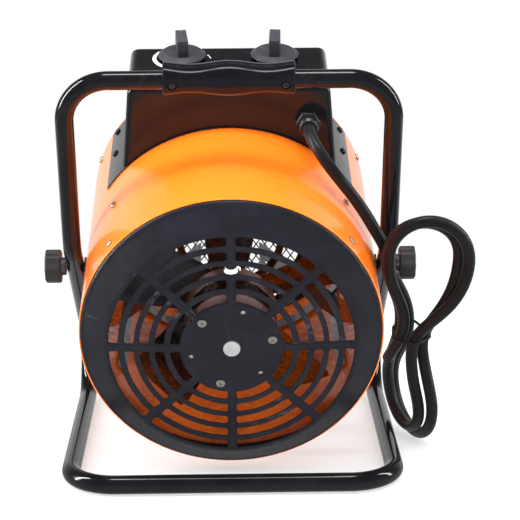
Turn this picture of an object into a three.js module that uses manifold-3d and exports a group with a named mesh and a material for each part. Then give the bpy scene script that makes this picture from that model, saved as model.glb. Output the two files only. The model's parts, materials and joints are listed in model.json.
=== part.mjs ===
// Industrial drum fan heater in a tilting tube stand.
// Millimetres, +Z up. The inlet side faces -Y and the warm air leaves towards +Y.
// Everything is laid out from the tilt pivot: y = 0 at the pivot, z = 0 on the floor.
// The last lines move the whole model so that its origin is the bottom centre of its box.

import * as THREE from 'three';
import { mergeVertices } from 'three/addons/utils/BufferGeometryUtils.js';
import Module from 'manifold-3d';

const wasm = await Module();
wasm.setup();

// Fits shared by all pieces

const gap = 0.3;
const overrun = 2;
const roundSides = 16;
const mergeReach = 0.0001;

// Stand tube: a closed loop of round tube, bent in five places on each side

const tubeDiameter = 19;
const tubeWall = 1.5;
const frontReach = 175;
const pivotHeight = 192;
const legAngle = 36.6;
const kneeDistance = 48.6;
const uprightAngle = 71.6;
const uprightLength = 193;
const rearBendRadius = 46;
const kneeBendRadius = 48;
const topCornerRadius = 45;
const baseCornerRadius = 48;
const tubeEndGap = 3;
const tubeSides = 12;
const boreSides = 6;
const bendStep = 22.5;

// Hand grip on the top bar

const gripLength = 131;
const gripDepth = 30;
const gripUpperHeight = 16.4;
const gripLowerHeight = 14.2;
const gripWave = 2;
const gripWaveLength = 76;
const gripRounding = 5;
const gripScrewSpacing = 112;
const gripRecessRadius = 4;
const gripRecessDepth = 3;
const gripPoints = 12;

// Drum

const drumTilt = 15.4;
const drumRadius = 152.5;
const drumWall = 1.2;
const drumInletReach = 145;
const drumOutletReach = 159;
const drumSides = 48;
const ringSides = 24;

// Inlet grille

const grilleDepth = 26;
const grilleThickness = 2.5;
const grilleShoulderDrop = 1.5;
const grilleCollarLength = 25;
const slotCircleDepth = 22;
const hubDiscRadius = 51;
const spokeWidth = 9;
const spokeCount = 8;
const slotInnerRadii = [51.5, 67, 82, 97, 112.5];
const slotWidth = 9.4;
const slotSteps = 2;
const motorScrewCircle = 41.5;
const motorScrewAngle = 76;
const motorScrewCount = 3;

// Outlet ring and expanded mesh

const ringCollarLength = 16;
const ringLipWidth = 11;
const ringThickness = 2;
const meshThickness = 1.5;
const meshDiamondWidth = 39;
const meshDiamondHeight = 24;
const meshStrand = 2.6;

// Motor and fan

const motorSides = 20;
const motorRadius = 46;
const motorCoverWall = 3;
const motorCoverDepth = 26;
const bossRadius = 8.6;
const bossStandOut = 1.5;
const statorLength = 30;
const statorInnerRadius = 26;
const windingRadius = 33;
const windingThickness = 9;
const windingLength = 11;
const windingBars = 6;
const windingBarThickness = 5;
const windingBarAngle = 22;
const shaftRadius = 5;
const shaftReach = 46;
const bearingRadius = 13;
const bearingLength = 8;
const fanHubRadius = 28;
const fanHubLength = 26;
const fanHubSetback = 6;
const fanTipClearance = 14.3;
const fanBladeCount = 5;
const fanBladeThickness = 2;
const fanBladeChord = 74;
const fanBladePitch = 24;
const fanBladeTwist = 14;

// Heating elements, their brackets and their plate

const elementDiameter = 8.5;
const elementRadii = [56, 84, 112];
const elementNames = ['inner', 'middle', 'outer'];
const elementLegOffsets = [9, 24, 39];
const elementPlane = 60;
const elementSpacing = 12;
const elementBend = 12;
const elementStep = 22.5;
const elementPinRadius = 2;
const elementPinLength = 9;
const elementTopRise = 7.5;
const bracketThickness = 1.5;
const bracketAngle = 51;
const bracketBand = 14;
const bracketFootWidth = 14;
const bracketScrewPlace = -45;
const plateWidth = 116;
const plateThickness = 2;
const plateFrontPlace = 22;
const plateBackPlace = 116;
const wireOpeningWidth = 100;
const wireOpeningFront = 26;
const wireOpeningBack = 110;
const cutoutRadius = 9;
const cutoutHeight = 8;

// Control box on the drum: saddle plate, cover and what they hold

const saddleThickness = 1.2;
const saddleHalfAngle = 57;
const saddleFront = 15;
const saddleBack = 150;
const saddleScrewAngle = 53;
const saddleScrewPlaces = [83, 138];
const boxFront = 17;
const boxBack = 126;
const boxRise = 45.5;
const boxTopHalfWidth = 104;
const boxFootHalfWidth = 112.5;
const boxFootDrop = 52.5;
const boxWall = 2.2;
const boxCornerRadius = 10;
const boxEdgeRadius = 8;
const coverScrewRise = 15.5;
const coverScrewSpacing = 150;

// Rotary knobs, shafts, switch and thermostat

const knobSpacing = 98;
const knobPlace = 95;
const knobRadius = 25.5;
const knobSkirt = 7;
const knobCrownRadius = 18;
const knobCrownRise = 4;
const knobBladeLength = 33;
const knobBladeWidth = 11.5;
const knobBladeHeight = 13;
const knobClearance = 1.8;
const knobShaftRadius = 3;
const shaftSides = 8;
const switchSide = 42;
const switchHeight = 24;
const thermostatRadius = 20;
const thermostatHeight = 18;
const bulbRadius = 3.5;
const bulbLength = 62;
const capillaryHoleOffset = 44;
const capillaryHolePlace = 42;
const bulbFrontPlace = -112;
const capillaryRadius = 1.2;
const terminalLength = 58;
const terminalDepth = 18;
const terminalHeight = 13;

// Cable gland

const glandOffset = 81.5;
const glandRise = 6.5;
const glandAcrossFlats = 23;
const glandHexLength = 7;
const glandNutRadius = 11;
const glandNutLength = 13;
const glandThreadRadius = 9;
const glandThreadLength = 12;

// Mains cable: free lead, hank and twist tie

const cableDiameter = 12.5;
const leadSides = 8;
const hankSides = 6;
const hankStepsPerLoop = 24;
const hankHeight = 271;
const hankTopRadius = 46;
const hankBottomRadius = 46.2;
const hankTopInset = 9;
const hankBottomInset = 9.3;
const hankWaist = 13.3;
const hankWaistHeight = 124.6;
const hankWaistSharpness = 1;
const hankSpacing = 14.5;
const hankLowSpacing = 9.4;
const hankThirdStep = 14.2;
const hankLean = 16.3;
const hankRoll = 0.9;
const hankTwist = 68;
const hankPlaceX = 193.9;
const hankPlaceY = -0.8;
const hankBow = -5.4;
const hankStart = 0.13;
const hankEnd = 2.3;
const climbShares = [0.62, 0.86];
const outwardShares = [1.3, 1.6];
const inwardShares = [0.7, 1.2];
const crossingShares = [1.9, 2.24];
const widthShares = [0.2, 0.75];
const spacingShares = [0.08, 0.32];
const twistShares = [0.25, 0.84];
const bowShares = [0.6, 0.13];

// Inner wiring

const motorLeadRadius = 3.2;
const leadCornerShare = 0.45;
const leadCornerAngle = 36;
const spokeTieSlot = 2;
const spokeTieWidth = 4.5;
const spokeTieThickness = 1.2;

// Clamp knobs at the pivots

const clampRadius = 17.4;
const clampFlute = 0.8;
const clampFlutes = 8;
const clampThickness = 17;
const clampNeckRadius = 9.5;
const clampNeckLength = 5;
const clampBevel = 2;
const clampStudRadius = 3;
const clampBoreDepth = 12;
const nutFlangeRadius = 6;
const nutFlangeThickness = 2.4;
const nutBodyRadius = 4.5;
const nutBodyLength = 11;

// Screws

const screwRadius = 1.9;
const screwHeadRadius = 3.9;
const screwHeadHeight = 2.4;
const screwLength = 6.6;
const screwSides = 6;
const motorScrewRadius = 2.4;
const motorScrewHead = 4.6;
const motorScrewLength = 11;
const grilleScrewPlace = -128;
const grilleScrewAngles = [51, 129, 231, 309];

// Values worked out from the sizes above

const turn = THREE.MathUtils.degToRad;
const tubeRadius = tubeDiameter / 2;
const tubeCorner = tubeRadius / Math.cos(Math.PI / tubeSides);
const halfWidth = drumRadius + nutFlangeThickness + 2 * gap + tubeRadius;
const drumInner = drumRadius - drumWall;
const fanTipRadius = drumInner - fanTipClearance;
const elementTop = drumRadius + elementTopRise;
const boxTop = drumRadius + boxRise;
const boxFootHeight = drumRadius - boxFootDrop;
const coverScrewHeight = drumRadius + coverScrewRise;
const glandHeight = drumRadius + glandRise;
const inletEdge = -drumInletReach;
const outletEdge = drumOutletReach;
const hubFace = inletEdge - grilleDepth;
const hubBack = hubFace + grilleThickness;
const saddleInner = drumRadius + gap;
const saddleOuter = saddleInner + saddleThickness;
const motorRear = hubBack + gap;
const statorFront = motorRear + motorCoverDepth + gap;
const statorBack = statorFront + statorLength;
const motorFrontFace = statorBack + gap + motorCoverDepth;
const shaftEnd = motorFrontFace + shaftReach;
const fanPlace = motorFrontFace + fanHubSetback + fanHubLength / 2;
const cableRadius = cableDiameter / 2;
const glandFace = boxFront - gap;
const glandNutFront = glandFace - glandHexLength - glandNutLength;
const glandSeat = glandFace - glandHexLength - glandNutLength / 2;

// Materials

function finish(color, roughness, metalness) {
  return new THREE.MeshStandardMaterial({ color, roughness, metalness });
}

const gloss = finish(0x111113, 0.22, 0.1);
const paint = finish(0xe87420, 0.32, 0.1);
const matt = finish(0x2a2a2e, 0.55, 0);
const boxBlack = finish(0x131315, 0.35, 0.05);
const knobGrey = finish(0x3c3a40, 0.6, 0);
const zinc = finish(0xc8c8c8, 0.35, 0.9);
const steel = finish(0x8c8f94, 0.4, 0.9);
const darkSteel = finish(0x3a3b3f, 0.45, 0.8);
const copper = finish(0xb8683a, 0.4, 0.9);
const rubber = finish(0x1b1b1d, 0.75, 0);
const white = finish(0xe8e8e6, 0.5, 0);
const brown = finish(0x6b4a2e, 0.6, 0);

// Shape helpers

function toSolid(shape) {
  if (shape instanceof wasm.Manifold) {
    return shape;
  }
  const bare = shape.clone();
  bare.deleteAttribute('normal');
  bare.deleteAttribute('uv');
  const merged = mergeVertices(bare, mergeReach);
  const corners = merged.index.array;
  const kept = [];
  for (let i = 0; i < corners.length; i += 3) {
    const [a, b, c] = [corners[i], corners[i + 1], corners[i + 2]];
    if (a !== b && b !== c && c !== a) {
      kept.push(a, b, c);
    }
  }
  const positions = merged.attributes.position.array;
  const mesh = { numProp: 3, vertProperties: new Float32Array(positions), triVerts: new Uint32Array(kept) };
  const solid = new wasm.Manifold(new wasm.Mesh(mesh));
  if (solid.volume() > 0) {
    return solid;
  }
  const flipped = kept.slice().reverse();
  mesh.triVerts = new Uint32Array(flipped);
  return new wasm.Manifold(new wasm.Mesh(mesh));
}

function cut(base, ...tools) {
  return tools.reduce((solid, tool) => solid.subtract(toSolid(tool)), toSolid(base));
}

function join(first, ...others) {
  return others.reduce((solid, other) => solid.add(toSolid(other)), toSolid(first));
}

function common(first, second) {
  return toSolid(first).intersect(toSolid(second));
}

function toGeometry(shape) {
  const mesh = toSolid(shape).getMesh();
  const geometry = new THREE.BufferGeometry();
  geometry.setAttribute('position', new THREE.BufferAttribute(new Float32Array(mesh.vertProperties), 3));
  geometry.setIndex(new THREE.BufferAttribute(new Uint32Array(mesh.triVerts), 1));
  geometry.computeVertexNormals();
  return geometry;
}

function block(x, y, z, place = [0, 0, 0]) {
  return new THREE.BoxGeometry(x, y, z).translate(...place);
}

// A round bar along Y, X or Z, with its middle at a place
function rod(radius, length, sides, axis = 'y', place = [0, 0, 0]) {
  const bar = new THREE.CylinderGeometry(radius, radius, length, sides);
  return alongAxis(bar, axis).translate(...place);
}

function alongAxis(shape, axis) {
  if (axis === 'z') {
    shape.rotateX(Math.PI / 2);
  }
  if (axis === 'x') {
    shape.rotateZ(-Math.PI / 2);
  }
  return shape;
}

// A body of revolution about Y from [radius, along] corners; it closes on the axis or on itself
function turned(corners, sides) {
  const profile = corners.map(([radius, along]) => new THREE.Vector2(radius, along));
  const opensOffAxis = corners[0][0] > 0;
  if (opensOffAxis) {
    profile.push(profile[0].clone());
  }
  return new THREE.LatheGeometry(profile, sides);
}

function ring(inner, outer, from, to, sides) {
  return turned([[inner, from], [outer, from], [outer, to], [inner, to]], sides);
}

// A hole that a round bar of this radius passes with the usual gap, measured at the hole's flats
function clearRadius(radius, sides) {
  return (radius + gap) / Math.cos(Math.PI / sides);
}

// An outline in X and Z, pushed out along Y between two places
function alongY(shape, from, to, options = {}) {
  const bevel = options.bevelThickness ?? 0;
  const settings = { depth: to - from - 2 * bevel, bevelEnabled: false, curveSegments: 6, ...options };
  const solid = new THREE.ExtrudeGeometry(shape, settings);
  return solid.rotateX(Math.PI / 2).translate(0, to - bevel, 0);
}

// A point on a circle round the Y axis; the angle is counted from straight up, towards +X
function around(angle, radius, along = 0) {
  return new THREE.Vector3(radius * Math.sin(turn(angle)), along, radius * Math.cos(turn(angle)));
}

// A block between two radii and two angles, pushed along Y
function arcBlock(inner, outer, fromAngle, toAngle, from, to, steps) {
  const shape = new THREE.Shape();
  for (let i = 0; i <= steps; i += 1) {
    const point = around(fromAngle + (toAngle - fromAngle) * i / steps, outer);
    if (i === 0) {
      shape.moveTo(point.x, point.z);
    } else {
      shape.lineTo(point.x, point.z);
    }
  }
  for (let i = steps; i >= 0; i -= 1) {
    const point = around(fromAngle + (toAngle - fromAngle) * i / steps, inner);
    shape.lineTo(point.x, point.z);
  }
  return alongY(shape, from, to);
}

// A piece made along +Y is turned to point along a direction and moved to a place
function aimed(shape, direction, place) {
  const up = new THREE.Vector3(0, 1, 0);
  const spin = new THREE.Quaternion().setFromUnitVectors(up, direction.clone().normalize());
  return shape.applyQuaternion(spin).translate(place.x, place.y, place.z);
}

// A pan-head screw along Y: the head stands above y = 0 and the shank goes below it
function screw(radius = screwRadius, head = screwHeadRadius, length = screwLength, height = screwHeadHeight) {
  const crown = height / 3;
  const corners = [[0, -length], [radius, -length], [radius, 0], [head, 0], [head - crown, height], [0, height]];
  return turned(corners, screwSides);
}

// Screws that stand on a cylinder round the Y axis, at angles and a place along it
function wallScrews(angles, along, seatRadius) {
  return angles.map((angle) => aimed(screw(), around(angle, 1), around(angle, seatRadius, along)));
}

function wallHoles(angles, along, atRadius) {
  const bore = clearRadius(screwRadius, screwSides);
  return angles.map((angle) => aimed(rod(bore, 6 * overrun + screwLength, screwSides), around(angle, 1),
    around(angle, atRadius, along)));
}

// A path given by its stations, so that a sweep has a section just where it bends
class StationPath extends THREE.Curve {
  constructor(stations, anchor, anchorNormal) {
    super();
    this.stations = stations;
    this.last = stations.length - 1;
    this.anchor = anchor;
    this.anchorNormal = anchorNormal;
  }

  getPoint(share) {
    const place = Math.min(share * this.last, this.last);
    const index = Math.min(Math.floor(place), this.last - 1);
    return this.stations[index].clone().lerp(this.stations[index + 1], place - index);
  }

  getPointAt(share) {
    return this.getPoint(share);
  }

  tangentOf(index) {
    const before = this.stations[Math.max(index - 1, 0)];
    const here = this.stations[index];
    const after = this.stations[Math.min(index + 1, this.last)];
    const arriving = here.clone().sub(before).normalize();
    const leaving = after.clone().sub(here).normalize();
    return arriving.add(leaving).normalize();
  }

  // The section is carried along without twist, both ways from the anchor station
  computeFrenetFrames() {
    const tangents = this.stations.map((station, index) => this.tangentOf(index));
    const normals = [];
    normals[this.anchor] = this.anchorNormal.clone();
    const carry = (from, to) => {
      const spin = new THREE.Quaternion().setFromUnitVectors(tangents[from], tangents[to]);
      normals[to] = normals[from].clone().applyQuaternion(spin);
    };
    for (let i = this.anchor; i < this.last; i += 1) {
      carry(i, i + 1);
    }
    for (let i = this.anchor; i > 0; i -= 1) {
      carry(i, i - 1);
    }
    const binormals = tangents.map((tangent, index) => tangent.clone().cross(normals[index]));
    return { tangents, normals, binormals };
  }
}

// A regular section whose first flat faces the path's normal
function section(flatRadius, sides) {
  const corner = flatRadius / Math.cos(Math.PI / sides);
  const points = [];
  for (let i = 0; i < sides; i += 1) {
    const angle = (i + 0.5) * 2 * Math.PI / sides;
    points.push(new THREE.Vector2(corner * Math.cos(angle), corner * Math.sin(angle)));
  }
  return points;
}

function anyNormal(stations) {
  const start = stations[1].clone().sub(stations[0]).normalize();
  const side = Math.abs(start.x) < 0.9 ? new THREE.Vector3(1, 0, 0) : new THREE.Vector3(0, 0, 1);
  return side.sub(start.clone().multiplyScalar(side.dot(start))).normalize();
}

function swept(stations, radius, sides, boreRadius = 0, anchor = 0, normal = anyNormal(stations)) {
  const shape = new THREE.Shape(section(radius, sides));
  if (boreRadius > 0) {
    shape.holes.push(new THREE.Path(section(boreRadius, boreSides)));
  }
  const extrudePath = new StationPath(stations, anchor, normal);
  return new THREE.ExtrudeGeometry(shape, { steps: stations.length - 1, extrudePath });
}

// Corners joined by straights and round bends; radii[i] belongs to corners[i + 1]
function bent(corners, radii, step = bendStep) {
  const stations = [corners[0].clone()];
  for (let i = 1; i < corners.length - 1; i += 1) {
    const here = corners[i];
    const back = corners[i - 1].clone().sub(here).normalize();
    const ahead = corners[i + 1].clone().sub(here).normalize();
    const opening = back.angleTo(ahead);
    const radius = radii[i - 1];
    const reach = radius / Math.tan(opening / 2);
    const halfway = back.clone().add(ahead).normalize();
    const centre = halfway.multiplyScalar(radius / Math.sin(opening / 2)).add(here);
    const first = back.clone().multiplyScalar(reach).add(here).sub(centre);
    const axis = first.clone().cross(ahead.clone().multiplyScalar(reach).add(here).sub(centre)).normalize();
    const sweep = Math.PI - opening;
    const steps = Math.max(1, Math.ceil(sweep / turn(step) - 0.01));
    for (let j = 0; j <= steps; j += 1) {
      stations.push(first.clone().applyAxisAngle(axis, sweep * j / steps).add(centre));
    }
  }
  stations.push(corners[corners.length - 1].clone());
  return stations;
}

function vector(x, y, z) {
  return new THREE.Vector3(x, y, z);
}

// Groups and meshes

const heater = new THREE.Group();
const cords = new THREE.Group();
const drum = new THREE.Group();
drum.position.set(0, 0, pivotHeight);
drum.rotation.x = turn(drumTilt);

function addPiece(group, name, shape, material) {
  const mesh = new THREE.Mesh(toGeometry(shape), material);
  mesh.name = name;
  group.add(mesh);
  return mesh;
}

// Copies of a piece, such as screws, are numbered from 1
function addCopies(group, name, shapes, material) {
  shapes.forEach((shape, index) => addPiece(group, `${name}_${index + 1}`, shape, material));
}

// Stand

// The top bar, where the grip sits: the uprights rise from the knee and lean towards the inlet side
const legRise = vector(0, -Math.cos(turn(legAngle)), Math.sin(turn(legAngle)));
const uprightRise = vector(0, -Math.cos(turn(uprightAngle)), Math.sin(turn(uprightAngle)));
const pivotPlace = vector(0, 0, pivotHeight);
const knee = legRise.clone().multiplyScalar(kneeDistance).add(pivotPlace);
const topBar = uprightRise.clone().multiplyScalar(uprightLength).add(knee);
const rearCorner = vector(0, (pivotHeight - tubeRadius) / Math.tan(turn(legAngle)), tubeRadius);

function standSide(side) {
  const x = side * halfWidth;
  const corners = [
    vector(side * tubeEndGap / 2, topBar.y, topBar.z),
    vector(x, topBar.y, topBar.z),
    vector(x, knee.y, knee.z),
    vector(x, rearCorner.y, rearCorner.z),
    vector(x, -frontReach, tubeRadius),
    vector(0, -frontReach, tubeRadius),
  ];
  return bent(corners, [topCornerRadius, kneeBendRadius, rearBendRadius, baseCornerRadius]);
}

function makeStandTube() {
  const right = standSide(1);
  const left = standSide(-1).reverse();
  const stations = [...right, ...left.slice(1)];
  const flatDown = vector(0, 0, -1);
  const boreRadius = tubeRadius - tubeWall;
  const tube = swept(stations, tubeRadius, tubeSides, boreRadius, right.length - 1, flatDown);
  const pivotBore = clearRadius(clampStudRadius, shaftSides);
  const pivotHoles = rod(pivotBore, 2 * (halfWidth + tubeDiameter), shaftSides, 'x', [0, 0, pivotHeight]);
  const screwBore = clearRadius(screwRadius, screwSides);
  const gripHoles = [-1, 1].map((side) => {
    const hole = rod(screwBore, tubeDiameter + 2 * overrun, screwSides);
    hole.rotateX(Math.PI / 2 - turn(uprightAngle));
    return hole.translate(side * gripScrewSpacing / 2, topBar.y, topBar.z);
  });
  return cut(tube, pivotHoles, ...gripHoles);
}

addPiece(heater, 'stand_tube', makeStandTube(), gloss);

// Hand grip

const grip = new THREE.Group();
grip.position.copy(topBar);
grip.rotation.x = Math.PI / 2 - turn(uprightAngle);
heater.add(grip);

function gripEdge(x, height) {
  return height + gripWave * Math.cos(2 * Math.PI * x / gripWaveLength);
}

function gripOutline() {
  const points = [];
  for (let i = 0; i <= gripPoints; i += 1) {
    const x = gripLength * (i / gripPoints - 0.5);
    points.push(new THREE.Vector2(x, -gripEdge(x, gripLowerHeight)));
  }
  for (let i = gripPoints; i >= 0; i -= 1) {
    const x = gripLength * (i / gripPoints - 0.5);
    points.push(new THREE.Vector2(x, gripEdge(x, gripUpperHeight)));
  }
  return new THREE.Shape(points);
}

function makeGripHalf(face) {
  const rounding = { bevelEnabled: true, bevelThickness: gripRounding, bevelSize: gripRounding,
    bevelOffset: -gripRounding, bevelSegments: 1 };
  const body = alongY(gripOutline(), -gripDepth / 2, gripDepth / 2, rounding);
  const boreSidesHere = 2 * tubeSides;
  const bore = rod(clearRadius(tubeCorner, boreSidesHere), gripLength + 2 * overrun, boreSidesHere, 'x');
  const half = block(gripLength * 2, gripDepth, gripDepth * 2, [0, face * (gripDepth + gap) / 2, 0]);
  const holes = [-1, 1].flatMap((side) => {
    const x = side * gripScrewSpacing / 2;
    const recess = rod(gripRecessRadius + gap, 2 * gripRecessDepth, roundSides, 'y', [x, -gripDepth / 2, 0]);
    const blind = gripDepth - 2 * gripRecessDepth;
    return [recess, rod(clearRadius(screwRadius, screwSides), blind, screwSides, 'y', [x, -gripRecessDepth, 0])];
  });
  return cut(common(body, half), bore, ...holes);
}

function makeGripScrews() {
  const seat = gripDepth / 2 - gripRecessDepth + gap;
  const length = seat + gripDepth / 2 - 2 * gripRecessDepth - overrun;
  return [-1, 1].map((side) => aimed(screw(screwRadius, gripRecessRadius - gap, length), vector(0, -1, 0),
    vector(side * gripScrewSpacing / 2, -seat, 0)));
}

addPiece(grip, 'grip_front', makeGripHalf(-1), gloss);
addPiece(grip, 'grip_rear', makeGripHalf(1), gloss);
addCopies(grip, 'grip_screw', makeGripScrews(), darkSteel);

// Drum

const bracketAngles = [bracketAngle, 180 - bracketAngle, 180 + bracketAngle, 360 - bracketAngle];
const saddleScrewAngles = [saddleScrewAngle, -saddleScrewAngle];

function wireOpening() {
  const middle = (wireOpeningFront + wireOpeningBack) / 2;
  const depth = wireOpeningBack - wireOpeningFront;
  return block(wireOpeningWidth, depth, drumRadius / 2, [0, middle, drumRadius]);
}

function pivotHole(side) {
  const bore = clearRadius(nutBodyRadius, tubeSides);
  return rod(bore, 4 * nutBodyLength, tubeSides, 'x', [side * drumRadius, 0, 0]);
}

function makeDrumShell() {
  const shell = ring(drumInner, drumRadius, inletEdge, outletEdge, drumSides);
  const holes = [
    ...wallHoles(grilleScrewAngles, grilleScrewPlace, drumRadius),
    ...wallHoles(bracketAngles, bracketScrewPlace, drumRadius),
    ...saddleScrewPlaces.flatMap((place) => wallHoles(saddleScrewAngles, place, drumRadius)),
  ];
  return cut(shell, pivotHole(-1), pivotHole(1), wireOpening(), ...holes);
}

addPiece(drum, 'drum_shell', makeDrumShell(), paint);

// Inlet grille

const grilleCollar = drumInner - gap;
const slotRimRadius = slotInnerRadii[slotInnerRadii.length - 1] + slotWidth + grilleThickness;
const slotRimFace = inletEdge - slotCircleDepth;

function grilleShell() {
  const shoulder = grilleShoulderDrop;
  const outer = [
    [grilleCollar, inletEdge + grilleCollarLength],
    [grilleCollar, inletEdge - shoulder],
    [grilleCollar - shoulder, inletEdge - 2 * shoulder - gap],
    [grilleCollar - 3 * shoulder, inletEdge - 3 * shoulder - gap],
    [slotRimRadius, slotRimFace],
    [hubDiscRadius, hubFace],
  ];
  const inner = [
    [hubDiscRadius, hubBack],
    [slotRimRadius - grilleThickness / 2, slotRimFace + grilleThickness],
    [grilleCollar - 3 * shoulder - grilleThickness / 2, inletEdge - 3 * shoulder + grilleThickness],
    [grilleCollar - grilleThickness, inletEdge - shoulder + grilleThickness / 2],
    [grilleCollar - grilleThickness, inletEdge + grilleCollarLength],
  ];
  const bore = clearRadius(bossRadius, roundSides);
  return turned([...outer, [bore, hubFace], [bore, hubBack], ...inner], ringSides);
}

function slotBlocks() {
  const blocks = [];
  const sector = 360 / spokeCount;
  for (const inner of slotInnerRadii) {
    const outer = inner + slotWidth;
    const middle = inner + slotWidth / 2;
    const halfSpoke = THREE.MathUtils.radToDeg(Math.asin(spokeWidth / 2 / middle));
    for (let k = 0; k < spokeCount; k += 1) {
      const from = k * sector + halfSpoke;
      const to = (k + 1) * sector - halfSpoke;
      blocks.push(arcBlock(inner, outer, from, to, hubFace - overrun, inletEdge, slotSteps));
    }
  }
  return blocks;
}

function motorScrewAngles() {
  const angles = [];
  for (let k = 0; k < motorScrewCount; k += 1) {
    angles.push(motorScrewAngle + k * 360 / motorScrewCount);
  }
  return angles;
}

function makeRearGrille() {
  const bore = clearRadius(motorScrewRadius, screwSides);
  const holes = motorScrewAngles().map((angle) => rod(bore, grilleDepth, screwSides, 'y',
    around(angle, motorScrewCircle, hubFace).toArray()));
  const spareHoles = motorScrewAngles().map((angle) => rod(bore, grilleDepth, screwSides, 'y',
    around(angle + 180 / motorScrewCount, motorScrewCircle, hubFace).toArray()));
  const screws = wallHoles(grilleScrewAngles, grilleScrewPlace, drumInner);
  return cut(grilleShell(), ...slotBlocks(), ...holes, ...spareHoles, ...screws);
}

addPiece(drum, 'rear_grille', makeRearGrille(), matt);
addCopies(drum, 'grille_screw', wallScrews(grilleScrewAngles, grilleScrewPlace, drumRadius + gap), zinc);

// Outlet ring and mesh

const meshBack = outletEdge - ringThickness - gap - meshThickness;
const meshRadius = grilleCollar - ringThickness - gap;

function makeOutletRing() {
  const collarStart = outletEdge - ringCollarLength;
  const lipRadius = grilleCollar - ringLipWidth;
  const profile = [
    [grilleCollar - ringThickness, collarStart],
    [grilleCollar, collarStart],
    [grilleCollar, outletEdge],
    [lipRadius, outletEdge],
    [lipRadius, outletEdge - ringThickness],
    [grilleCollar - ringThickness, outletEdge - ringThickness],
  ];
  return turned(profile, ringSides);
}

function makeOutletMesh() {
  const disc = new THREE.Shape();
  for (let i = 0; i < ringSides; i += 1) {
    const point = around(360 * i / ringSides, meshRadius);
    if (i === 0) {
      disc.moveTo(point.x, point.z);
    } else {
      disc.lineTo(point.x, point.z);
    }
  }
  const halfWide = (meshDiamondWidth - meshStrand * meshDiamondWidth / meshDiamondHeight) / 2;
  const halfHigh = (meshDiamondHeight - meshStrand) / 2;
  const open = meshRadius - ringLipWidth;
  const rows = Math.ceil(meshRadius / meshDiamondHeight) * 2;
  const columns = Math.ceil(meshRadius / meshDiamondWidth);
  for (let row = -rows; row <= rows; row += 1) {
    const shift = row % 2 === 0 ? 0 : 0.5;
    for (let column = -columns; column <= columns; column += 1) {
      const x = (column + shift) * meshDiamondWidth;
      const z = row * meshDiamondHeight / 2;
      const corners = [[x + halfWide, z], [x, z + halfHigh], [x - halfWide, z], [x, z - halfHigh]];
      if (corners.every(([cx, cz]) => Math.hypot(cx, cz) < open)) {
        disc.holes.push(new THREE.Path(corners.map(([cx, cz]) => new THREE.Vector2(cx, cz))));
      }
    }
  }
  return alongY(disc, meshBack, meshBack + meshThickness);
}

addPiece(drum, 'outlet_ring', makeOutletRing(), matt);
addPiece(drum, 'outlet_mesh', makeOutletMesh(), matt);

// Motor, from the hub disc inwards

const bearingBore = clearRadius(bearingRadius, motorSides);
const shaftBore = clearRadius(shaftRadius, motorSides);

function makeMotorCover(rear) {
  const back = rear ? motorRear : motorFrontFace;
  const sign = rear ? 1 : -1;
  const wall = motorCoverWall;
  const rim = back + sign * motorCoverDepth;
  const seat = back + sign * (wall + bearingLength + gap);
  const nose = rear ? [[0, hubFace - bossStandOut], [bossRadius, hubFace - bossStandOut], [bossRadius, back]]
    : [[shaftBore, back]];
  const pocket = rear ? [[0, back + wall]] : [[shaftBore, back + sign * wall]];
  const profile = [
    ...nose,
    [motorRadius - wall, back],
    [motorRadius, back + sign * wall],
    [motorRadius, rim],
    [motorRadius - wall, rim],
    [motorRadius - wall, back + sign * 2 * wall],
    [bearingBore + wall, back + sign * 2 * wall],
    [bearingBore + wall, seat],
    [bearingBore, seat],
    [bearingBore, back + sign * wall],
    ...pocket,
  ];
  return turned(profile, motorSides);
}

function makeMotorRearCover() {
  const bore = clearRadius(motorScrewRadius, screwSides);
  const holes = motorScrewAngles().map((angle) => rod(bore, motorScrewLength * 2, screwSides, 'y',
    around(angle, motorScrewCircle, motorRear).toArray()));
  const bosses = motorScrewAngles().map((angle) => rod(2 * motorScrewRadius, motorCoverDepth / 2, screwSides, 'y',
    around(angle, motorScrewCircle - motorScrewRadius, motorRear + motorCoverDepth / 4 + gap).toArray()));
  return cut(join(makeMotorCover(true), ...bosses), ...holes);
}

function makeMotorScrews() {
  const seat = hubFace - gap;
  return motorScrewAngles().map((angle) => aimed(
    screw(motorScrewRadius, motorScrewHead, motorScrewLength), vector(0, -1, 0),
    around(angle, motorScrewCircle, seat)));
}

function makeWindings() {
  const half = windingThickness / 2;
  const endTurn = (from, to) => ring(windingRadius - half, windingRadius + half, from, to, motorSides);
  const bars = windingBlocks(0, statorFront - windingLength / 2, statorBack + windingLength / 2);
  return join(
    endTurn(statorFront - gap - windingLength, statorFront - gap),
    endTurn(statorBack + gap, statorBack + gap + windingLength),
    ...bars,
  );
}

function windingBlocks(grow, from, to) {
  const blocks = [];
  const half = windingBarThickness / 2 + grow;
  const wide = windingBarAngle / 2 + THREE.MathUtils.radToDeg(grow / windingRadius);
  for (let k = 0; k < windingBars; k += 1) {
    const middle = k * 360 / windingBars;
    blocks.push(arcBlock(windingRadius - half, windingRadius + half,
      middle - wide, middle + wide, from, to, 1));
  }
  return blocks;
}

function makeStatorCore() {
  const core = ring(statorInnerRadius, motorRadius, statorFront, statorBack, motorSides);
  return cut(core, ...windingBlocks(gap, statorFront - overrun, statorBack + overrun));
}

function makeBearings() {
  const inner = shaftBore;
  const rearSeat = motorRear + motorCoverWall + gap;
  const frontSeat = motorFrontFace - motorCoverWall - gap;
  return [
    ring(inner, bearingRadius, rearSeat, rearSeat + bearingLength, roundSides),
    ring(inner, bearingRadius, frontSeat - bearingLength, frontSeat, roundSides),
  ];
}

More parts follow.
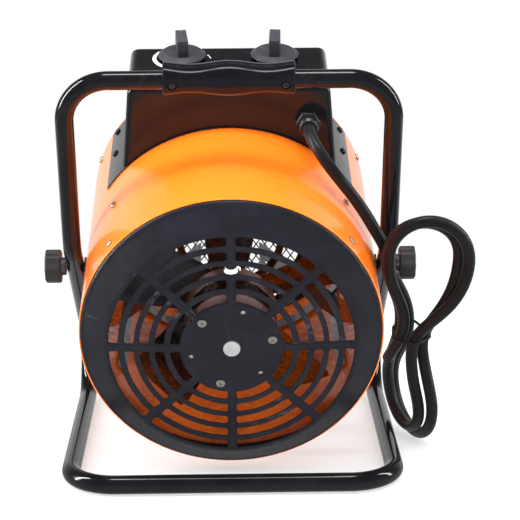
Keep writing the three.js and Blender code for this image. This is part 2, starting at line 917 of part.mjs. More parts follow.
function makeRotor() {
  const start = motorRear + motorCoverWall + 2 * gap;
  const rotorRadius = statorInnerRadius - 2 * gap;
  const profile = [
    [0, start], [shaftRadius, start], [shaftRadius, statorFront + gap], [rotorRadius, statorFront + gap],
    [rotorRadius, statorBack - gap], [shaftRadius, statorBack - gap], [shaftRadius, shaftEnd], [0, shaftEnd],
  ];
  return turned(profile, motorSides);
}

// One blade: a twisted plate between the hub and the tip
function makeBlade() {
  const radialSteps = 2;
  const chordSteps = 2;
  const positions = [];
  const corners = [];
  const hubRoot = fanHubRadius - fanBladeThickness;
  const pointAt = (r, c, face) => {
    const out = r / radialSteps;
    const across = c / chordSteps - 0.5;
    const radius = THREE.MathUtils.lerp(hubRoot, fanTipRadius, out);
    const rootPitch = fanBladePitch + fanBladeTwist;
    const pitch = turn(THREE.MathUtils.lerp(rootPitch, fanBladePitch, out));
    const chord = THREE.MathUtils.lerp(fanBladeChord / 2, fanBladeChord, Math.sqrt(out));
    const camber = fanBladeThickness * 2 * (1 - 4 * across * across);
    const along = across * chord * Math.sin(pitch) + camber + face * fanBladeThickness / 2;
    const side = across * chord * Math.cos(pitch);
    const angle = side / Math.max(radius, fanHubRadius);
    return [radius * Math.sin(angle), along, radius * Math.cos(angle)];
  };
  for (const face of [-1, 1]) {
    for (let r = 0; r <= radialSteps; r += 1) {
      for (let c = 0; c <= chordSteps; c += 1) {
        positions.push(...pointAt(r, c, face));
      }
    }
  }
  const row = chordSteps + 1;
  const sheet = row * (radialSteps + 1);
  const at = (face, r, c) => face * sheet + r * row + c;
  const quad = (a, b, c, d) => corners.push(a, b, c, a, c, d);
  for (let r = 0; r < radialSteps; r += 1) {
    for (let c = 0; c < chordSteps; c += 1) {
      quad(at(0, r, c), at(0, r, c + 1), at(0, r + 1, c + 1), at(0, r + 1, c));
      quad(at(1, r, c), at(1, r + 1, c), at(1, r + 1, c + 1), at(1, r, c + 1));
    }
    quad(at(0, r, 0), at(0, r + 1, 0), at(1, r + 1, 0), at(1, r, 0));
    quad(at(0, r, chordSteps), at(1, r, chordSteps), at(1, r + 1, chordSteps), at(0, r + 1, chordSteps));
  }
  for (let c = 0; c < chordSteps; c += 1) {
    quad(at(0, 0, c), at(1, 0, c), at(1, 0, c + 1), at(0, 0, c + 1));
    quad(at(0, radialSteps, c), at(0, radialSteps, c + 1), at(1, radialSteps, c + 1), at(1, radialSteps, c));
  }
  const blade = new THREE.BufferGeometry();
  blade.setAttribute('position', new THREE.Float32BufferAttribute(positions, 3));
  blade.setIndex(corners);
  return blade;
}

function makeFanWheel() {
  const bore = shaftBore;
  const hub = ring(bore, fanHubRadius, fanPlace - fanHubLength / 2, fanPlace + fanHubLength / 2, motorSides);
  const blades = [];
  for (let k = 0; k < fanBladeCount; k += 1) {
    const blade = makeBlade().rotateY(2 * Math.PI * k / fanBladeCount).translate(0, fanPlace, 0);
    blades.push(blade);
  }
  return join(hub, ...blades);
}

addPiece(drum, 'motor_rear_cover', makeMotorRearCover(), steel);
addPiece(drum, 'stator_core', makeStatorCore(), darkSteel);
addPiece(drum, 'stator_windings', makeWindings(), copper);
addPiece(drum, 'motor_front_cover', makeMotorCover(false), steel);
const [rearBearing, frontBearing] = makeBearings();
addPiece(drum, 'motor_rear_bearing', rearBearing, zinc);
addPiece(drum, 'motor_front_bearing', frontBearing, zinc);
addCopies(drum, 'motor_screw', makeMotorScrews(), zinc);
addPiece(drum, 'rotor_shaft', makeRotor(), steel);
addPiece(drum, 'fan_wheel', makeFanWheel(), darkSteel);

// Heating elements: three rings whose ends rise side by side into the box

const elementRadius = elementDiameter / 2;
const elementSides = 6;
const elementCorner = elementRadius / Math.cos(Math.PI / elementSides);

function elementPlace(index) {
  return elementPlane + index * elementSpacing;
}

function makeElement(index) {
  const radius = elementRadii[index];
  const leg = elementLegOffsets[index];
  const place = elementPlace(index);
  const open = THREE.MathUtils.radToDeg(Math.asin(leg / radius));
  const steps = Math.round((360 - 2 * open) / elementStep);
  const corners = [vector(leg, place, elementTop)];
  const radii = [];
  for (let i = 0; i <= steps; i += 1) {
    corners.push(around(open + (360 - 2 * open) * i / steps, radius, place));
    radii.push(i === 0 || i === steps ? elementBend : 0);
  }
  corners.push(vector(-leg, place, elementTop));
  const stations = [corners[0]];
  for (let i = 1; i < corners.length - 1; i += 1) {
    if (radii[i - 1] > 0) {
      const arc = bent([corners[i - 1], corners[i], corners[i + 1]], [elementBend], 2 * bendStep);
      stations.push(...arc.slice(1, -1));
    } else {
      stations.push(corners[i]);
    }
  }
  stations.push(corners[corners.length - 1]);
  const pins = [-1, 1].map((side) => rod(elementPinRadius, 2 * elementPinLength, elementSides, 'z',
    [side * leg, place, elementTop]));
  return join(swept(stations, elementRadius, elementSides), ...pins);
}

for (let i = 0; i < elementRadii.length; i += 1) {
  addPiece(drum, `heating_element_${elementNames[i]}`, makeElement(i), darkSteel);
}

// Each bracket of the frame is a radial plate with a hole for each ring and a foot along the drum's wall
function makeBracket(angle) {
  const foot = drumInner * Math.cos(Math.PI / drumSides) - gap;
  const lastPlace = elementPlace(elementRadii.length - 1);
  const front = bracketScrewPlace - bracketFootWidth;
  const back = lastPlace + bracketBand;
  const inner = elementRadii[0] - bracketBand;
  const web = block(bracketThickness, back - elementPlane + bracketBand, foot - inner,
    [0, (back + elementPlane - bracketBand) / 2, (foot + inner) / 2]);
  const plate = block(bracketFootWidth, back - front, bracketThickness,
    [0, (back + front) / 2, foot - bracketThickness / 2 - gap]);
  const bore = clearRadius(elementCorner, shaftSides);
  const holes = elementRadii.map((radius, index) => {
    const sagged = radius * Math.cos(turn(elementStep / 2));
    return rod(bore + (radius - sagged), bracketThickness + 2 * overrun, shaftSides, 'x',
      [0, elementPlace(index), (radius + sagged) / 2]);
  });
  const screwHole = rod(clearRadius(screwRadius, screwSides), screwLength * 2, screwSides, 'z',
    [0, bracketScrewPlace, foot]);
  const solid = cut(join(web, plate), ...holes, screwHole);
  return toGeometry(solid).rotateY(turn(angle));
}

function makeElementFrame() {
  const back = elementPlace(elementRadii.length - 1) + bracketBand;
  const outer = drumInner - gap;
  const band = ring(outer - 2 * bracketThickness, outer, back - overrun, back + bracketBand, ringSides);
  const frame = join(band, ...bracketAngles.map(makeBracket));
  return cut(frame, ...wallHoles(saddleScrewAngles, saddleScrewPlaces[0], drumInner));
}

addPiece(drum, 'element_frame', makeElementFrame(), steel);
addCopies(drum, 'frame_screw', wallScrews(bracketAngles, bracketScrewPlace, drumRadius + gap), zinc);

// The plate over the wire opening, which the element ends pass

const plateTop = saddleOuter + gap + plateThickness;
const plateMiddle = (plateFrontPlace + plateBackPlace) / 2;
const plateDepth = plateBackPlace - plateFrontPlace;
const leadHolePlace = 40;
const capillaryHole = vector(-capillaryHoleOffset, capillaryHolePlace, 0);

function makeElementPlate() {
  const strip = plateThickness;
  const edge = (plateWidth - strip) / 2;
  const foot = Math.sqrt(saddleOuter ** 2 - edge ** 2) + 2 * gap;
  const flat = block(plateWidth, plateDepth, plateThickness, [0, plateMiddle, plateTop - plateThickness / 2]);
  const sides = [-1, 1].map((side) => block(strip, plateDepth, plateTop - foot,
    [side * edge, plateMiddle, (plateTop + foot) / 2]));
  const bore = clearRadius(elementCorner, shaftSides);
  const holes = elementLegOffsets.flatMap((leg, index) => [-1, 1].map((side) => rod(bore, 6 * plateThickness,
    shaftSides, 'z', [side * leg, elementPlace(index), plateTop])));
  const leadHole = rod(2 * motorLeadRadius, 6 * plateThickness, roundSides, 'z', [0, leadHolePlace, plateTop]);
  const thinHole = rod(4 * capillaryRadius, 6 * plateThickness, roundSides, 'z',
    [capillaryHole.x, capillaryHole.y, plateTop]);
  return cut(join(flat, ...sides), ...holes, leadHole, thinHole);
}

function makeCutout() {
  const base = rod(cutoutRadius, cutoutHeight, roundSides, 'z',
    [elementLegOffsets[2], leadHolePlace, plateTop + gap + cutoutHeight / 2]);
  const ears = block(3.2 * cutoutRadius, cutoutRadius, cutoutHeight / 5,
    [elementLegOffsets[2], leadHolePlace, plateTop + gap + cutoutHeight / 10]);
  return join(base, ears);
}

addPiece(drum, 'element_plate', makeElementPlate(), steel);
addPiece(drum, 'overheat_cutout', makeCutout(), brown);

// Control box

function makeSaddle() {
  const sheet = ring(saddleInner, saddleOuter, saddleFront, saddleBack, drumSides);
  const steps = Math.round(2 * saddleHalfAngle / bendStep);
  const sector = arcBlock(drumRadius / 2, 2 * drumRadius, -saddleHalfAngle, saddleHalfAngle,
    saddleFront - overrun, saddleBack + overrun, steps);
  const holes = saddleScrewPlaces.flatMap((place) => wallHoles(saddleScrewAngles, place, drumRadius));
  return join(cut(common(sheet, sector), wireOpening(), ...holes), ...coverTabs());
}

function makeSaddleScrews() {
  return saddleScrewPlaces.flatMap((place) => wallScrews(saddleScrewAngles, place, saddleOuter + gap));
}

// The box outline in X and Z, with every wall moved in by an inset
function boxOutline(inset) {
  const slope = (boxFootHalfWidth - boxTopHalfWidth) / (boxTop - boxFootHeight);
  const top = boxTop - inset;
  const low = boxFootHeight - boxCornerRadius;
  const atTop = boxTopHalfWidth - inset + slope * inset;
  const atLow = boxTopHalfWidth - inset + slope * (boxTop - low);
  const round = boxCornerRadius - inset;
  const shape = new THREE.Shape();
  shape.moveTo(-atLow, low);
  shape.lineTo(atLow, low);
  shape.lineTo(atTop + slope * round, top - round);
  shape.quadraticCurveTo(atTop, top, atTop - round, top);
  shape.lineTo(-atTop + round, top);
  shape.quadraticCurveTo(-atTop, top, -atTop - slope * round, top - round);
  return shape;
}

function boxBlock(inset) {
  const bevel = boxEdgeRadius - inset;
  return alongY(boxOutline(inset), boxFront + inset, boxBack - inset, {
    bevelEnabled: true, bevelThickness: bevel, bevelSize: bevel, bevelOffset: -bevel, bevelSegments: 2,
    curveSegments: 3,
  });
}

function makeBoxCover() {
  const under = rod(saddleOuter + gap, 2 * boxBack, drumSides, 'y');
  const shaftHoles = [-1, 1].map((side) => rod(3 * knobShaftRadius, 6 * boxWall, roundSides, 'z',
    [side * knobSpacing / 2, knobPlace, boxTop]));
  const glandHole = rod(clearRadius(glandThreadRadius, roundSides), 6 * boxWall, roundSides, 'y',
    [glandOffset, boxFront, glandHeight]);
  const screwHoles = [-1, 1].map((side) => rod(clearRadius(screwRadius, screwSides), 6 * boxWall, screwSides, 'y',
    [side * coverScrewSpacing / 2, boxBack, coverScrewHeight]));
  return cut(boxBlock(0), boxBlock(boxWall), under, ...shaftHoles, glandHole, ...screwHoles);
}

// The cover is screwed to two tabs that stand up from the saddle behind its back wall
function coverTabs() {
  return [-1, 1].map((side) => {
    const x = side * coverScrewSpacing / 2;
    const foot = Math.sqrt(saddleInner ** 2 - (Math.abs(x) + bracketFootWidth / 2) ** 2);
    const top = coverScrewHeight + bracketFootWidth / 2;
    const back = boxBack - boxWall - gap;
    const tab = block(bracketFootWidth, bracketThickness, top - foot,
      [x, back - bracketThickness / 2, (top + foot) / 2]);
    const bore = clearRadius(screwRadius, screwSides);
    const under = rod(saddleInner + saddleThickness / 2, 2 * boxBack, drumSides);
    return cut(tab, under, rod(bore, 6 * bracketThickness, screwSides, 'y', [x, back, coverScrewHeight]));
  });
}

addPiece(drum, 'box_saddle', makeSaddle(), boxBlack);
addCopies(drum, 'saddle_screw', makeSaddleScrews(), zinc);
addPiece(drum, 'box_cover', makeBoxCover(), boxBlack);

// Rotary switch, thermostat, shafts, knobs and dial

const knobFoot = boxTop + knobClearance;
const knobTop = knobFoot + knobSkirt + knobCrownRise;
const switchTop = boxTop - boxWall - gap;
const shaftTop = knobTop;

function knobProfile() {
  const bevel = knobSkirt / 4;
  return [
    [0, knobFoot], [knobRadius - bevel, knobFoot], [knobRadius, knobFoot + bevel],
    [knobRadius, knobFoot + knobSkirt / 2], [knobRadius - bevel, knobFoot + knobSkirt],
    [knobCrownRadius, knobTop], [0, knobTop],
  ];
}

function makeKnob(side) {
  const x = side * knobSpacing / 2;
  const skirt = alongAxis(turned(knobProfile(), motorSides), 'z');
  const blade = new THREE.Shape();
  const half = knobBladeWidth / 2;
  const reach = knobBladeLength / 2;
  blade.moveTo(-half, -reach + half / 2);
  blade.lineTo(-half / 2, -reach);
  blade.lineTo(half / 2, -reach);
  blade.lineTo(half, -reach + half / 2);
  blade.lineTo(half, reach - half);
  blade.lineTo(half / 2, reach);
  blade.lineTo(-half / 2, reach);
  blade.lineTo(-half, reach - half);
  const bevel = half / 4;
  const settings = { depth: knobBladeHeight - bevel + overrun, bevelEnabled: true, bevelThickness: bevel,
    bevelSize: bevel, bevelOffset: -bevel, bevelSegments: 1 };
  const pointer = new THREE.ExtrudeGeometry(blade, settings).translate(0, 0, knobTop - overrun);
  const bore = rod(clearRadius(knobShaftRadius, shaftSides), 2 * (shaftTop + gap - knobFoot), shaftSides, 'z',
    [0, 0, knobFoot]);
  return toGeometry(cut(join(skirt, pointer), bore)).translate(x, knobPlace, 0);
}

function makeShaft(side, from) {
  return rod(knobShaftRadius, shaftTop - from, shaftSides, 'z',
    [side * knobSpacing / 2, knobPlace, (shaftTop + from) / 2]);
}

function makeSwitchBody() {
  const x = knobSpacing / 2;
  const middle = switchTop - switchHeight / 2;
  const body = block(switchSide, switchSide, switchHeight, [x, knobPlace, middle]);
  const socket = rod(clearRadius(knobShaftRadius, shaftSides), switchHeight, shaftSides, 'z',
    [x, knobPlace, switchTop]);
  const bush = rod(2 * knobShaftRadius, 2 * boxWall, shaftSides, 'z', [x, knobPlace, switchTop]);
  return cut(join(body, bush), socket);
}

function makeThermostatBody() {
  const x = -knobSpacing / 2;
  const body = rod(thermostatRadius, thermostatHeight, motorSides, 'z',
    [x, knobPlace, switchTop - thermostatHeight / 2]);
  const bush = rod(2 * knobShaftRadius, 2 * boxWall, shaftSides, 'z', [x, knobPlace, switchTop]);
  const socket = rod(clearRadius(knobShaftRadius, shaftSides), thermostatHeight, shaftSides, 'z',
    [x, knobPlace, switchTop]);
  return cut(join(body, bush), socket);
}

addPiece(drum, 'switch_body', makeSwitchBody(), brown);
addPiece(drum, 'mode_shaft', makeShaft(1, switchTop - switchHeight / 2 + gap), zinc);
addPiece(drum, 'mode_knob', makeKnob(1), knobGrey);
addPiece(drum, 'thermostat_body', makeThermostatBody(), steel);
addPiece(drum, 'thermostat_shaft', makeShaft(-1, switchTop - thermostatHeight / 2 + gap), zinc);
addPiece(drum, 'thermostat_knob', makeKnob(-1), knobGrey);

// Thermostat bulb under the drum's crown, with its capillary up to the thermostat

function makeBulb() {
  const reach = drumInner * Math.cos(Math.PI / drumSides) - bulbRadius - gap;
  const angle = THREE.MathUtils.radToDeg(Math.asin(capillaryHole.x / reach));
  const start = around(angle, reach, bulbFrontPlace);
  const end = around(angle, reach, bulbFrontPlace + bulbLength);
  const bulbMiddle = start.clone().lerp(end, 1 / 2);
  const bulb = rod(bulbRadius, bulbLength, 2 * elementSides, 'y', bulbMiddle.toArray());
  const under = switchTop - thermostatHeight - gap;
  const corners = [
    end.clone().setY(end.y - bulbRadius),
    vector(capillaryHole.x, capillaryHole.y, start.z),
    vector(capillaryHole.x, capillaryHole.y, plateTop + 5 * capillaryRadius),
    vector(-knobSpacing / 2, knobPlace, plateTop + 5 * capillaryRadius),
    vector(-knobSpacing / 2, knobPlace, under),
  ];
  const bendRadius = 4 * capillaryRadius;
  const line = bent(corners, [bendRadius, bendRadius, bendRadius], 2 * bendStep);
  return join(bulb, swept(line, capillaryRadius, elementSides));
}

function makeTerminalBlock() {
  const place = wireOpeningBack - terminalDepth / 2;
  const foot = plateTop + gap;
  const body = block(terminalLength, terminalDepth, terminalHeight, [0, place, foot + terminalHeight / 2]);
  const slots = [-2, -1, 0, 1, 2].map((k) => rod(terminalDepth / 6, terminalHeight, screwSides, 'z',
    [k * terminalLength / 5.2, place, foot + terminalHeight]));
  return cut(body, ...slots);
}

addPiece(drum, 'thermostat_bulb', makeBulb(), copper);
addPiece(drum, 'terminal_block', makeTerminalBlock(), white);

// Cable gland on the inlet side of the box

function glandPiece(corners, sides) {
  return turned(corners, sides).rotateY(Math.PI / sides).translate(glandOffset, 0, glandHeight);
}

function makeGlandBody() {
  const hexCorner = glandAcrossFlats / 2 / Math.cos(Math.PI / 6);
  const hex = rod(hexCorner, glandHexLength, 6, 'y', [glandOffset, glandFace - glandHexLength / 2, glandHeight]);
  const thread = rod(glandThreadRadius, glandThreadLength + glandHexLength / 2, roundSides, 'y',
    [glandOffset, glandFace + (glandThreadLength - glandHexLength / 2) / 2, glandHeight]);
  const noseLength = glandNutLength / 2 + glandHexLength / 2;
  const nose = rod(cableRadius + 2 * gap, noseLength, roundSides, 'y',
    [glandOffset, glandSeat + noseLength / 2, glandHeight]);
  return join(hex, thread, nose);
}

function makeGlandNut() {
  const back = glandFace - glandHexLength - gap;
  const wide = clearRadius(cableRadius + 2 * gap, roundSides);
  const bore = clearRadius(cableRadius, roundSides);
  const chamfer = glandNutLength / 3;
  return glandPiece([
    [wide, back], [glandNutRadius, back], [glandNutRadius, glandNutFront + chamfer],
    [glandNutRadius - chamfer / 2, glandNutFront], [bore, glandNutFront], [bore, glandSeat - gap],
    [wide, glandSeat - gap],
  ], roundSides);
}

addPiece(drum, 'gland_body', makeGlandBody(), matt);
addPiece(drum, 'gland_nut', makeGlandNut(), matt);

// Motor lead, from the motor up behind the top spoke and along the drum's crown into the box

const spokeTiePlace = slotInnerRadii[spokeTieSlot] + slotWidth / 2;

function makeMotorLead() {
  const behind = hubBack + 4 * motorLeadRadius;
  const crown = drumInner - 2 * motorLeadRadius - gap;
  const cornerDrop = (1 - leadCornerShare) * (crown - spokeTiePlace);
  const bend = 3 * motorLeadRadius;
  const blockFront = wireOpeningBack - terminalDepth - gap;
  const rise = plateTop + 2 * motorLeadRadius;
  const corners = [
    vector(0, behind, motorRadius + gap),
    vector(0, behind, crown - cornerDrop),
    vector(0, behind + cornerDrop * Math.tan(turn(leadCornerAngle)), crown),
    vector(0, leadHolePlace, crown),
    vector(0, leadHolePlace, rise),
    vector(0, blockFront, rise),
  ];
  return swept(bent(corners, [bend, bend, bend, bend], 2 * bendStep), motorLeadRadius, elementSides);
}

function makeSpokeTie() {
  const front = hubFace - gap;
  const back = hubBack + 5 * motorLeadRadius + 2 * gap;
  const half = spokeWidth / 2 + 2 * gap;
  const wall = spokeTieThickness;
  const middle = (front + back) / 2;
  const outer = block(2 * (half + wall), back - front + 2 * wall, spokeTieWidth, [0, middle, spokeTiePlace]);
  const inner = block(2 * half, back - front, spokeTieWidth + 2 * overrun, [0, middle, spokeTiePlace]);
  const head = block(2 * spokeTieWidth / 1.6, spokeTieWidth / 1.4, spokeTieWidth * 1.2,
    [half - wall, front - wall - spokeTieWidth / 4, spokeTiePlace]);
  return join(cut(outer, inner), head);
}

addPiece(drum, 'motor_lead', makeMotorLead(), rubber);
addPiece(drum, 'spoke_cable_tie', makeSpokeTie(), white);

// Clamp knobs, studs, washers, nuts and spacers at the two pivots

const tubeOuterSide = halfWidth + tubeRadius;
const nutBore = clearRadius(clampStudRadius, roundSides);
const neckStart = tubeOuterSide + gap;
const clampStart = neckStart + clampNeckLength;

function mirrored(shape, side) {
  if (side > 0) {
    return shape;
  }
  return shape.rotateZ(Math.PI);
}

function makeClampKnob(side) {
  const outline = [];
  const points = 4 * clampFlutes;
  for (let i = 0; i < points; i += 1) {
    const angle = 2 * Math.PI * i / points;
    const radius = clampRadius + clampFlute * Math.cos(clampFlutes * angle);
    outline.push(new THREE.Vector2(radius * Math.cos(angle), radius * Math.sin(angle)));
  }
  const head = new THREE.ExtrudeGeometry(new THREE.Shape(outline), {
    depth: clampThickness - 2 * clampBevel, bevelEnabled: true, bevelThickness: clampBevel,
    bevelSize: clampBevel, bevelOffset: -clampBevel, bevelSegments: 1,
  }).rotateY(Math.PI / 2).translate(clampStart + clampBevel, 0, 0);
  const neckLength = clampNeckLength + clampBevel;
  const neck = rod(clampNeckRadius, neckLength, roundSides, 'x', [neckStart + neckLength / 2, 0, 0]);
  const boreRadius = clearRadius(clampStudRadius, shaftSides);
  const bore = rod(boreRadius, 2 * clampBoreDepth, shaftSides, 'x', [neckStart, 0, 0]);
  return mirrored(toGeometry(cut(join(head, neck), bore)), side);
}

function makeClampStud(side) {
  const outerEnd = neckStart + clampBoreDepth - gap;
  const innerEnd = drumRadius - nutBodyLength;
  const stud = rod(clampStudRadius, outerEnd - innerEnd, shaftSides, 'x', [(outerEnd + innerEnd) / 2, 0, 0]);
  return mirrored(stud, side);
}

function makePivotNut(side) {
  const flangeStart = drumRadius + gap;
  const bodyStart = drumRadius - nutBodyLength;
  const profile = [
    [nutBore, bodyStart], [nutBodyRadius, bodyStart], [nutBodyRadius, flangeStart],
    [nutFlangeRadius, flangeStart], [nutFlangeRadius, flangeStart + nutFlangeThickness],
    [nutBore, flangeStart + nutFlangeThickness],
  ];
  return mirrored(alongAxis(turned(profile, roundSides), 'x'), side);
}

const sideNames = [['left', -1], ['right', 1]];
for (const [name, side] of sideNames) {
  addPiece(drum, `clamp_knob_${name}`, makeClampKnob(side), matt);
  addPiece(drum, `clamp_stud_${name}`, makeClampStud(side), zinc);
  addPiece(drum, `pivot_nut_${name}`, makePivotNut(side), zinc);
}

// Mains cable: the hank stands on the floor and leans towards the inlet side, against the right upright

function smooth(from, to, value) {
  return THREE.MathUtils.smoothstep(value, from, to);
}

// One closed waisted outline: 0 at the top, then down the left side, the bottom and up the right side
function outlinePoint(share, topInset, bottomInset) {
  const topQuarter = Math.PI / 2 * hankTopRadius;
  const bottomQuarter = Math.PI / 2 * hankBottomRadius;
  const run = hankHeight - hankTopRadius - hankBottomRadius;
  const whole = 2 * (topQuarter + bottomQuarter + run);
  const topShare = topQuarter / whole;
  const bottomShare = 0.5 - bottomQuarter / whole;
  const half = share % 1 < 0.5 ? share % 1 : 1 - (share % 1);
  const side = share % 1 < 0.5 ? -1 : 1;
  const topRadius = hankTopRadius - topInset;
  const bottomRadius = hankBottomRadius - bottomInset;
  if (half < topShare) {
    const angle = Math.PI / 2 * half / topShare;
    const rise = hankHeight - hankTopRadius + topRadius * Math.cos(angle);
    return { a: side * topRadius * Math.sin(angle), s: rise };
  }
  if (half > bottomShare) {
    const angle = Math.PI / 2 * (0.5 - half) / (0.5 - bottomShare);
    return { a: side * bottomRadius * Math.sin(angle), s: hankBottomRadius - bottomRadius * Math.cos(angle) };
  }
  const along = (half - topShare) / (bottomShare - topShare);
  const waistPower = Math.log(0.5) / Math.log(1 - (hankWaistHeight - hankBottomRadius) / run);
  const waist = ((1 - Math.cos(2 * Math.PI * along ** waistPower)) / 2) ** hankWaistSharpness;
  const widening = smooth(widthShares[0], widthShares[1], 1 - along);
  const radius = THREE.MathUtils.lerp(bottomRadius, topRadius, widening);
  const width = THREE.MathUtils.lerp(radius, hankWaist, waist);
  return { a: side * width, s: hankHeight - hankTopRadius - run * along };
}

// The cable's middle line at a number of turns: one turn and a half inside at the top, the rest
// outside and in front of it, and a last stretch that crosses in front of the waist and ends below it
function hankLocal(turns) {
  const firstClimb = smooth(climbShares[0], climbShares[1], turns);
  const secondClimb = smooth(1 + climbShares[0], 1 + climbShares[1], turns);
  const crossing = smooth(crossingShares[0], crossingShares[1], turns);
  const topInset = hankTopInset * (1 - smooth(outwardShares[0], outwardShares[1], turns));
  const bottomInset = hankBottomInset * smooth(inwardShares[0], inwardShares[1], turns);
  const { a, s } = outlinePoint(turns, topInset, bottomInset);
  const height = s / hankHeight;
  const spread = smooth(spacingShares[0], spacingShares[1], height);
  const step = THREE.MathUtils.lerp(hankLowSpacing, hankSpacing, spread);
  const depth = step * firstClimb + hankThirdStep * secondClimb;
  const across = a + hankWaist * crossing;
  const twist = turn(hankTwist) * (1 - smooth(twistShares[0], twistShares[1], height));
  const bow = hankBow * Math.exp(-(((height - bowShares[0]) / bowShares[1]) ** 2));
  const x = across * Math.cos(twist) - depth * Math.sin(twist) - bow;
  const y = -across * Math.sin(twist) - depth * Math.cos(twist);
  return vector(x, y, s);
}

function hankWorld(turns) {
  const rolled = hankLocal(turns).applyAxisAngle(vector(0, 1, 0), turn(hankRoll));
  const leaned = rolled.applyAxisAngle(vector(1, 0, 0), turn(hankLean));
  return leaned.add(vector(hankPlaceX, hankPlaceY, 0));
}

function hankStations() {
  const steps = Math.round((hankEnd - hankStart) * hankStepsPerLoop);
  const stations = [];
  for (let i = 0; i <= steps; i += 1) {
    stations.push(hankWorld(hankStart + (hankEnd - hankStart) * i / steps));
  }
  const lowest = Math.min(...stations.map((station) => station.z));
  const lift = cableRadius + gap - lowest;
  stations.forEach((station) => station.setZ(station.z + lift));
  return withStraightEnds(stations);
}

// Both ends run on straight for one diameter
function withStraightEnds(stations) {
  const last = stations.length - 1;
  const back = stations[0].clone().sub(stations[1]).setLength(cableDiameter);
  const on = stations[last].clone().sub(stations[last - 1]).setLength(cableDiameter);
  return [stations[0].clone().add(back), ...stations, stations[last].clone().add(on)];
}

// The wound tube, section by section, joined in one geometry
function woundTube(stations, radius, sides) {
  const { normals, binormals } = new StationPath(stations, 0, anyNormal(stations)).computeFrenetFrames();
  const positions = [];
  const corners = [];
  stations.forEach((station, index) => {
    for (let k = 0; k < sides; k += 1) {
      const angle = 2 * Math.PI * k / sides;
      const out = normals[index].clone().multiplyScalar(radius * Math.cos(angle));
      out.addScaledVector(binormals[index], radius * Math.sin(angle));
      positions.push(...out.add(station).toArray());
    }
  });
  for (let i = 0; i < stations.length - 1; i += 1) {
    for (let k = 0; k < sides; k += 1) {
      const next = (k + 1) % sides;
      const [a, b, c, d] = [i * sides + k, i * sides + next, (i + 1) * sides + next, (i + 1) * sides + k];
      corners.push(a, b, c, a, c, d);
    }
  }
  const end = (stations.length - 1) * sides;
  for (let k = 1; k < sides - 1; k += 1) {
    corners.push(0, k + 1, k, end, end + k, end + k + 1);
  }
  const tube = new THREE.BufferGeometry();
  tube.setAttribute('position', new THREE.Float32BufferAttribute(positions, 3));
  tube.setIndex(corners);
  return tube;
}

// The least gap between stretches of the hank that are more than a few diameters apart along it
function leastHankGap(stations) {
  const fine = new THREE.CatmullRomCurve3(stations).getSpacedPoints(20 * hankStepsPerLoop);
  const step = fine[0].distanceTo(fine[1]);
  const apart = Math.ceil(4 * cableDiameter / step);
  let least = Infinity;
  for (let i = 0; i < fine.length; i += 1) {
    for (let j = i + apart; j < fine.length; j += 1) {
      least = Math.min(least, fine[i].distanceTo(fine[j]));
    }
  }
  return least - cableDiameter;
}

const hankPath = hankStations();
console.log('least gap in the hank, mm', leastHankGap(hankPath).toFixed(2));

// The free lead: straight out of the gland, in front of the right upright and down to the hank

function glandPoint(along) {
  return drum.localToWorld(vector(glandOffset, along, glandHeight));
}

const leadPoints = [
  [84.5, -65, 336],
  [91, -76, 326],
  [100, -82.5, 313.5],
  [110, -85, 300.5],
  [121, -85, 287],
  [132, -82.5, 271.5],
  [141, -78.5, 257],
  [148, -74, 244],
];

function leadStations() {
  drum.updateMatrixWorld(true);
  const start = glandPoint(glandSeat - gap);
  const out = glandPoint(glandNutFront - cableDiameter / 2);
  const joinDirection = hankPath[0].clone().sub(hankPath[1]).normalize();
  const end = hankPath[0].clone().addScaledVector(joinDirection, gap);
  const before = end.clone().addScaledVector(joinDirection, cableDiameter);
  const free = new THREE.CatmullRomCurve3([
    out, ...leadPoints.map((point) => vector(...point)), before,
  ]);
  const steps = Math.ceil(free.getLength() / (0.8 * cableDiameter));
  return [start, ...free.getSpacedPoints(steps), end];
}

const leadPath = leadStations();

function pathLength(stations) {
  return stations.slice(1).reduce((sum, station, index) => sum + station.distanceTo(stations[index]), 0);
}

console.log('lead, mm', pathLength(leadPath).toFixed(0), 'hank, mm', pathLength(hankPath).toFixed(0));

const lead = swept(leadPath, cableRadius * Math.cos(Math.PI / leadSides), leadSides);
addPiece(cords, 'cord_lead', lead, rubber);
addPiece(cords, 'cord_hank', woundTube(hankPath, cableRadius, hankSides), rubber);

// Origin at the bottom centre of the object's box, which leaves out the free cable

heater.add(drum);
const assembly = new THREE.Group();
assembly.add(heater);
assembly.updateMatrixWorld(true);
const bounds = new THREE.Box3().setFromObject(heater, true);
const centre = bounds.getCenter(vector(0, 0, 0));
assembly.add(cords);
assembly.position.set(-centre.x, -centre.y, -bounds.min.z);

console.log('pivot moved by, mm', assembly.position.toArray().map((value) => value.toFixed(3)).join(' '));

export default assembly;
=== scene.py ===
# %% [markdown]
# # Dressing a drum fan heater
# A drum fan heater is a rolled steel drum with a fan behind a grille and heating rings in front of it.
# The CAD model gives every piece its exact place. This lesson keeps those places and gives each piece
# the roundings, the threads, the grain and the gloss that a camera sees.
# Everything is measured in millimetres, the drum from its tilt pivot and the stand from the floor under it,
# and turned into metres at the end.

# %% Load the frame
import json
import math

import bmesh
import bpy
from mathutils import Matrix, Vector


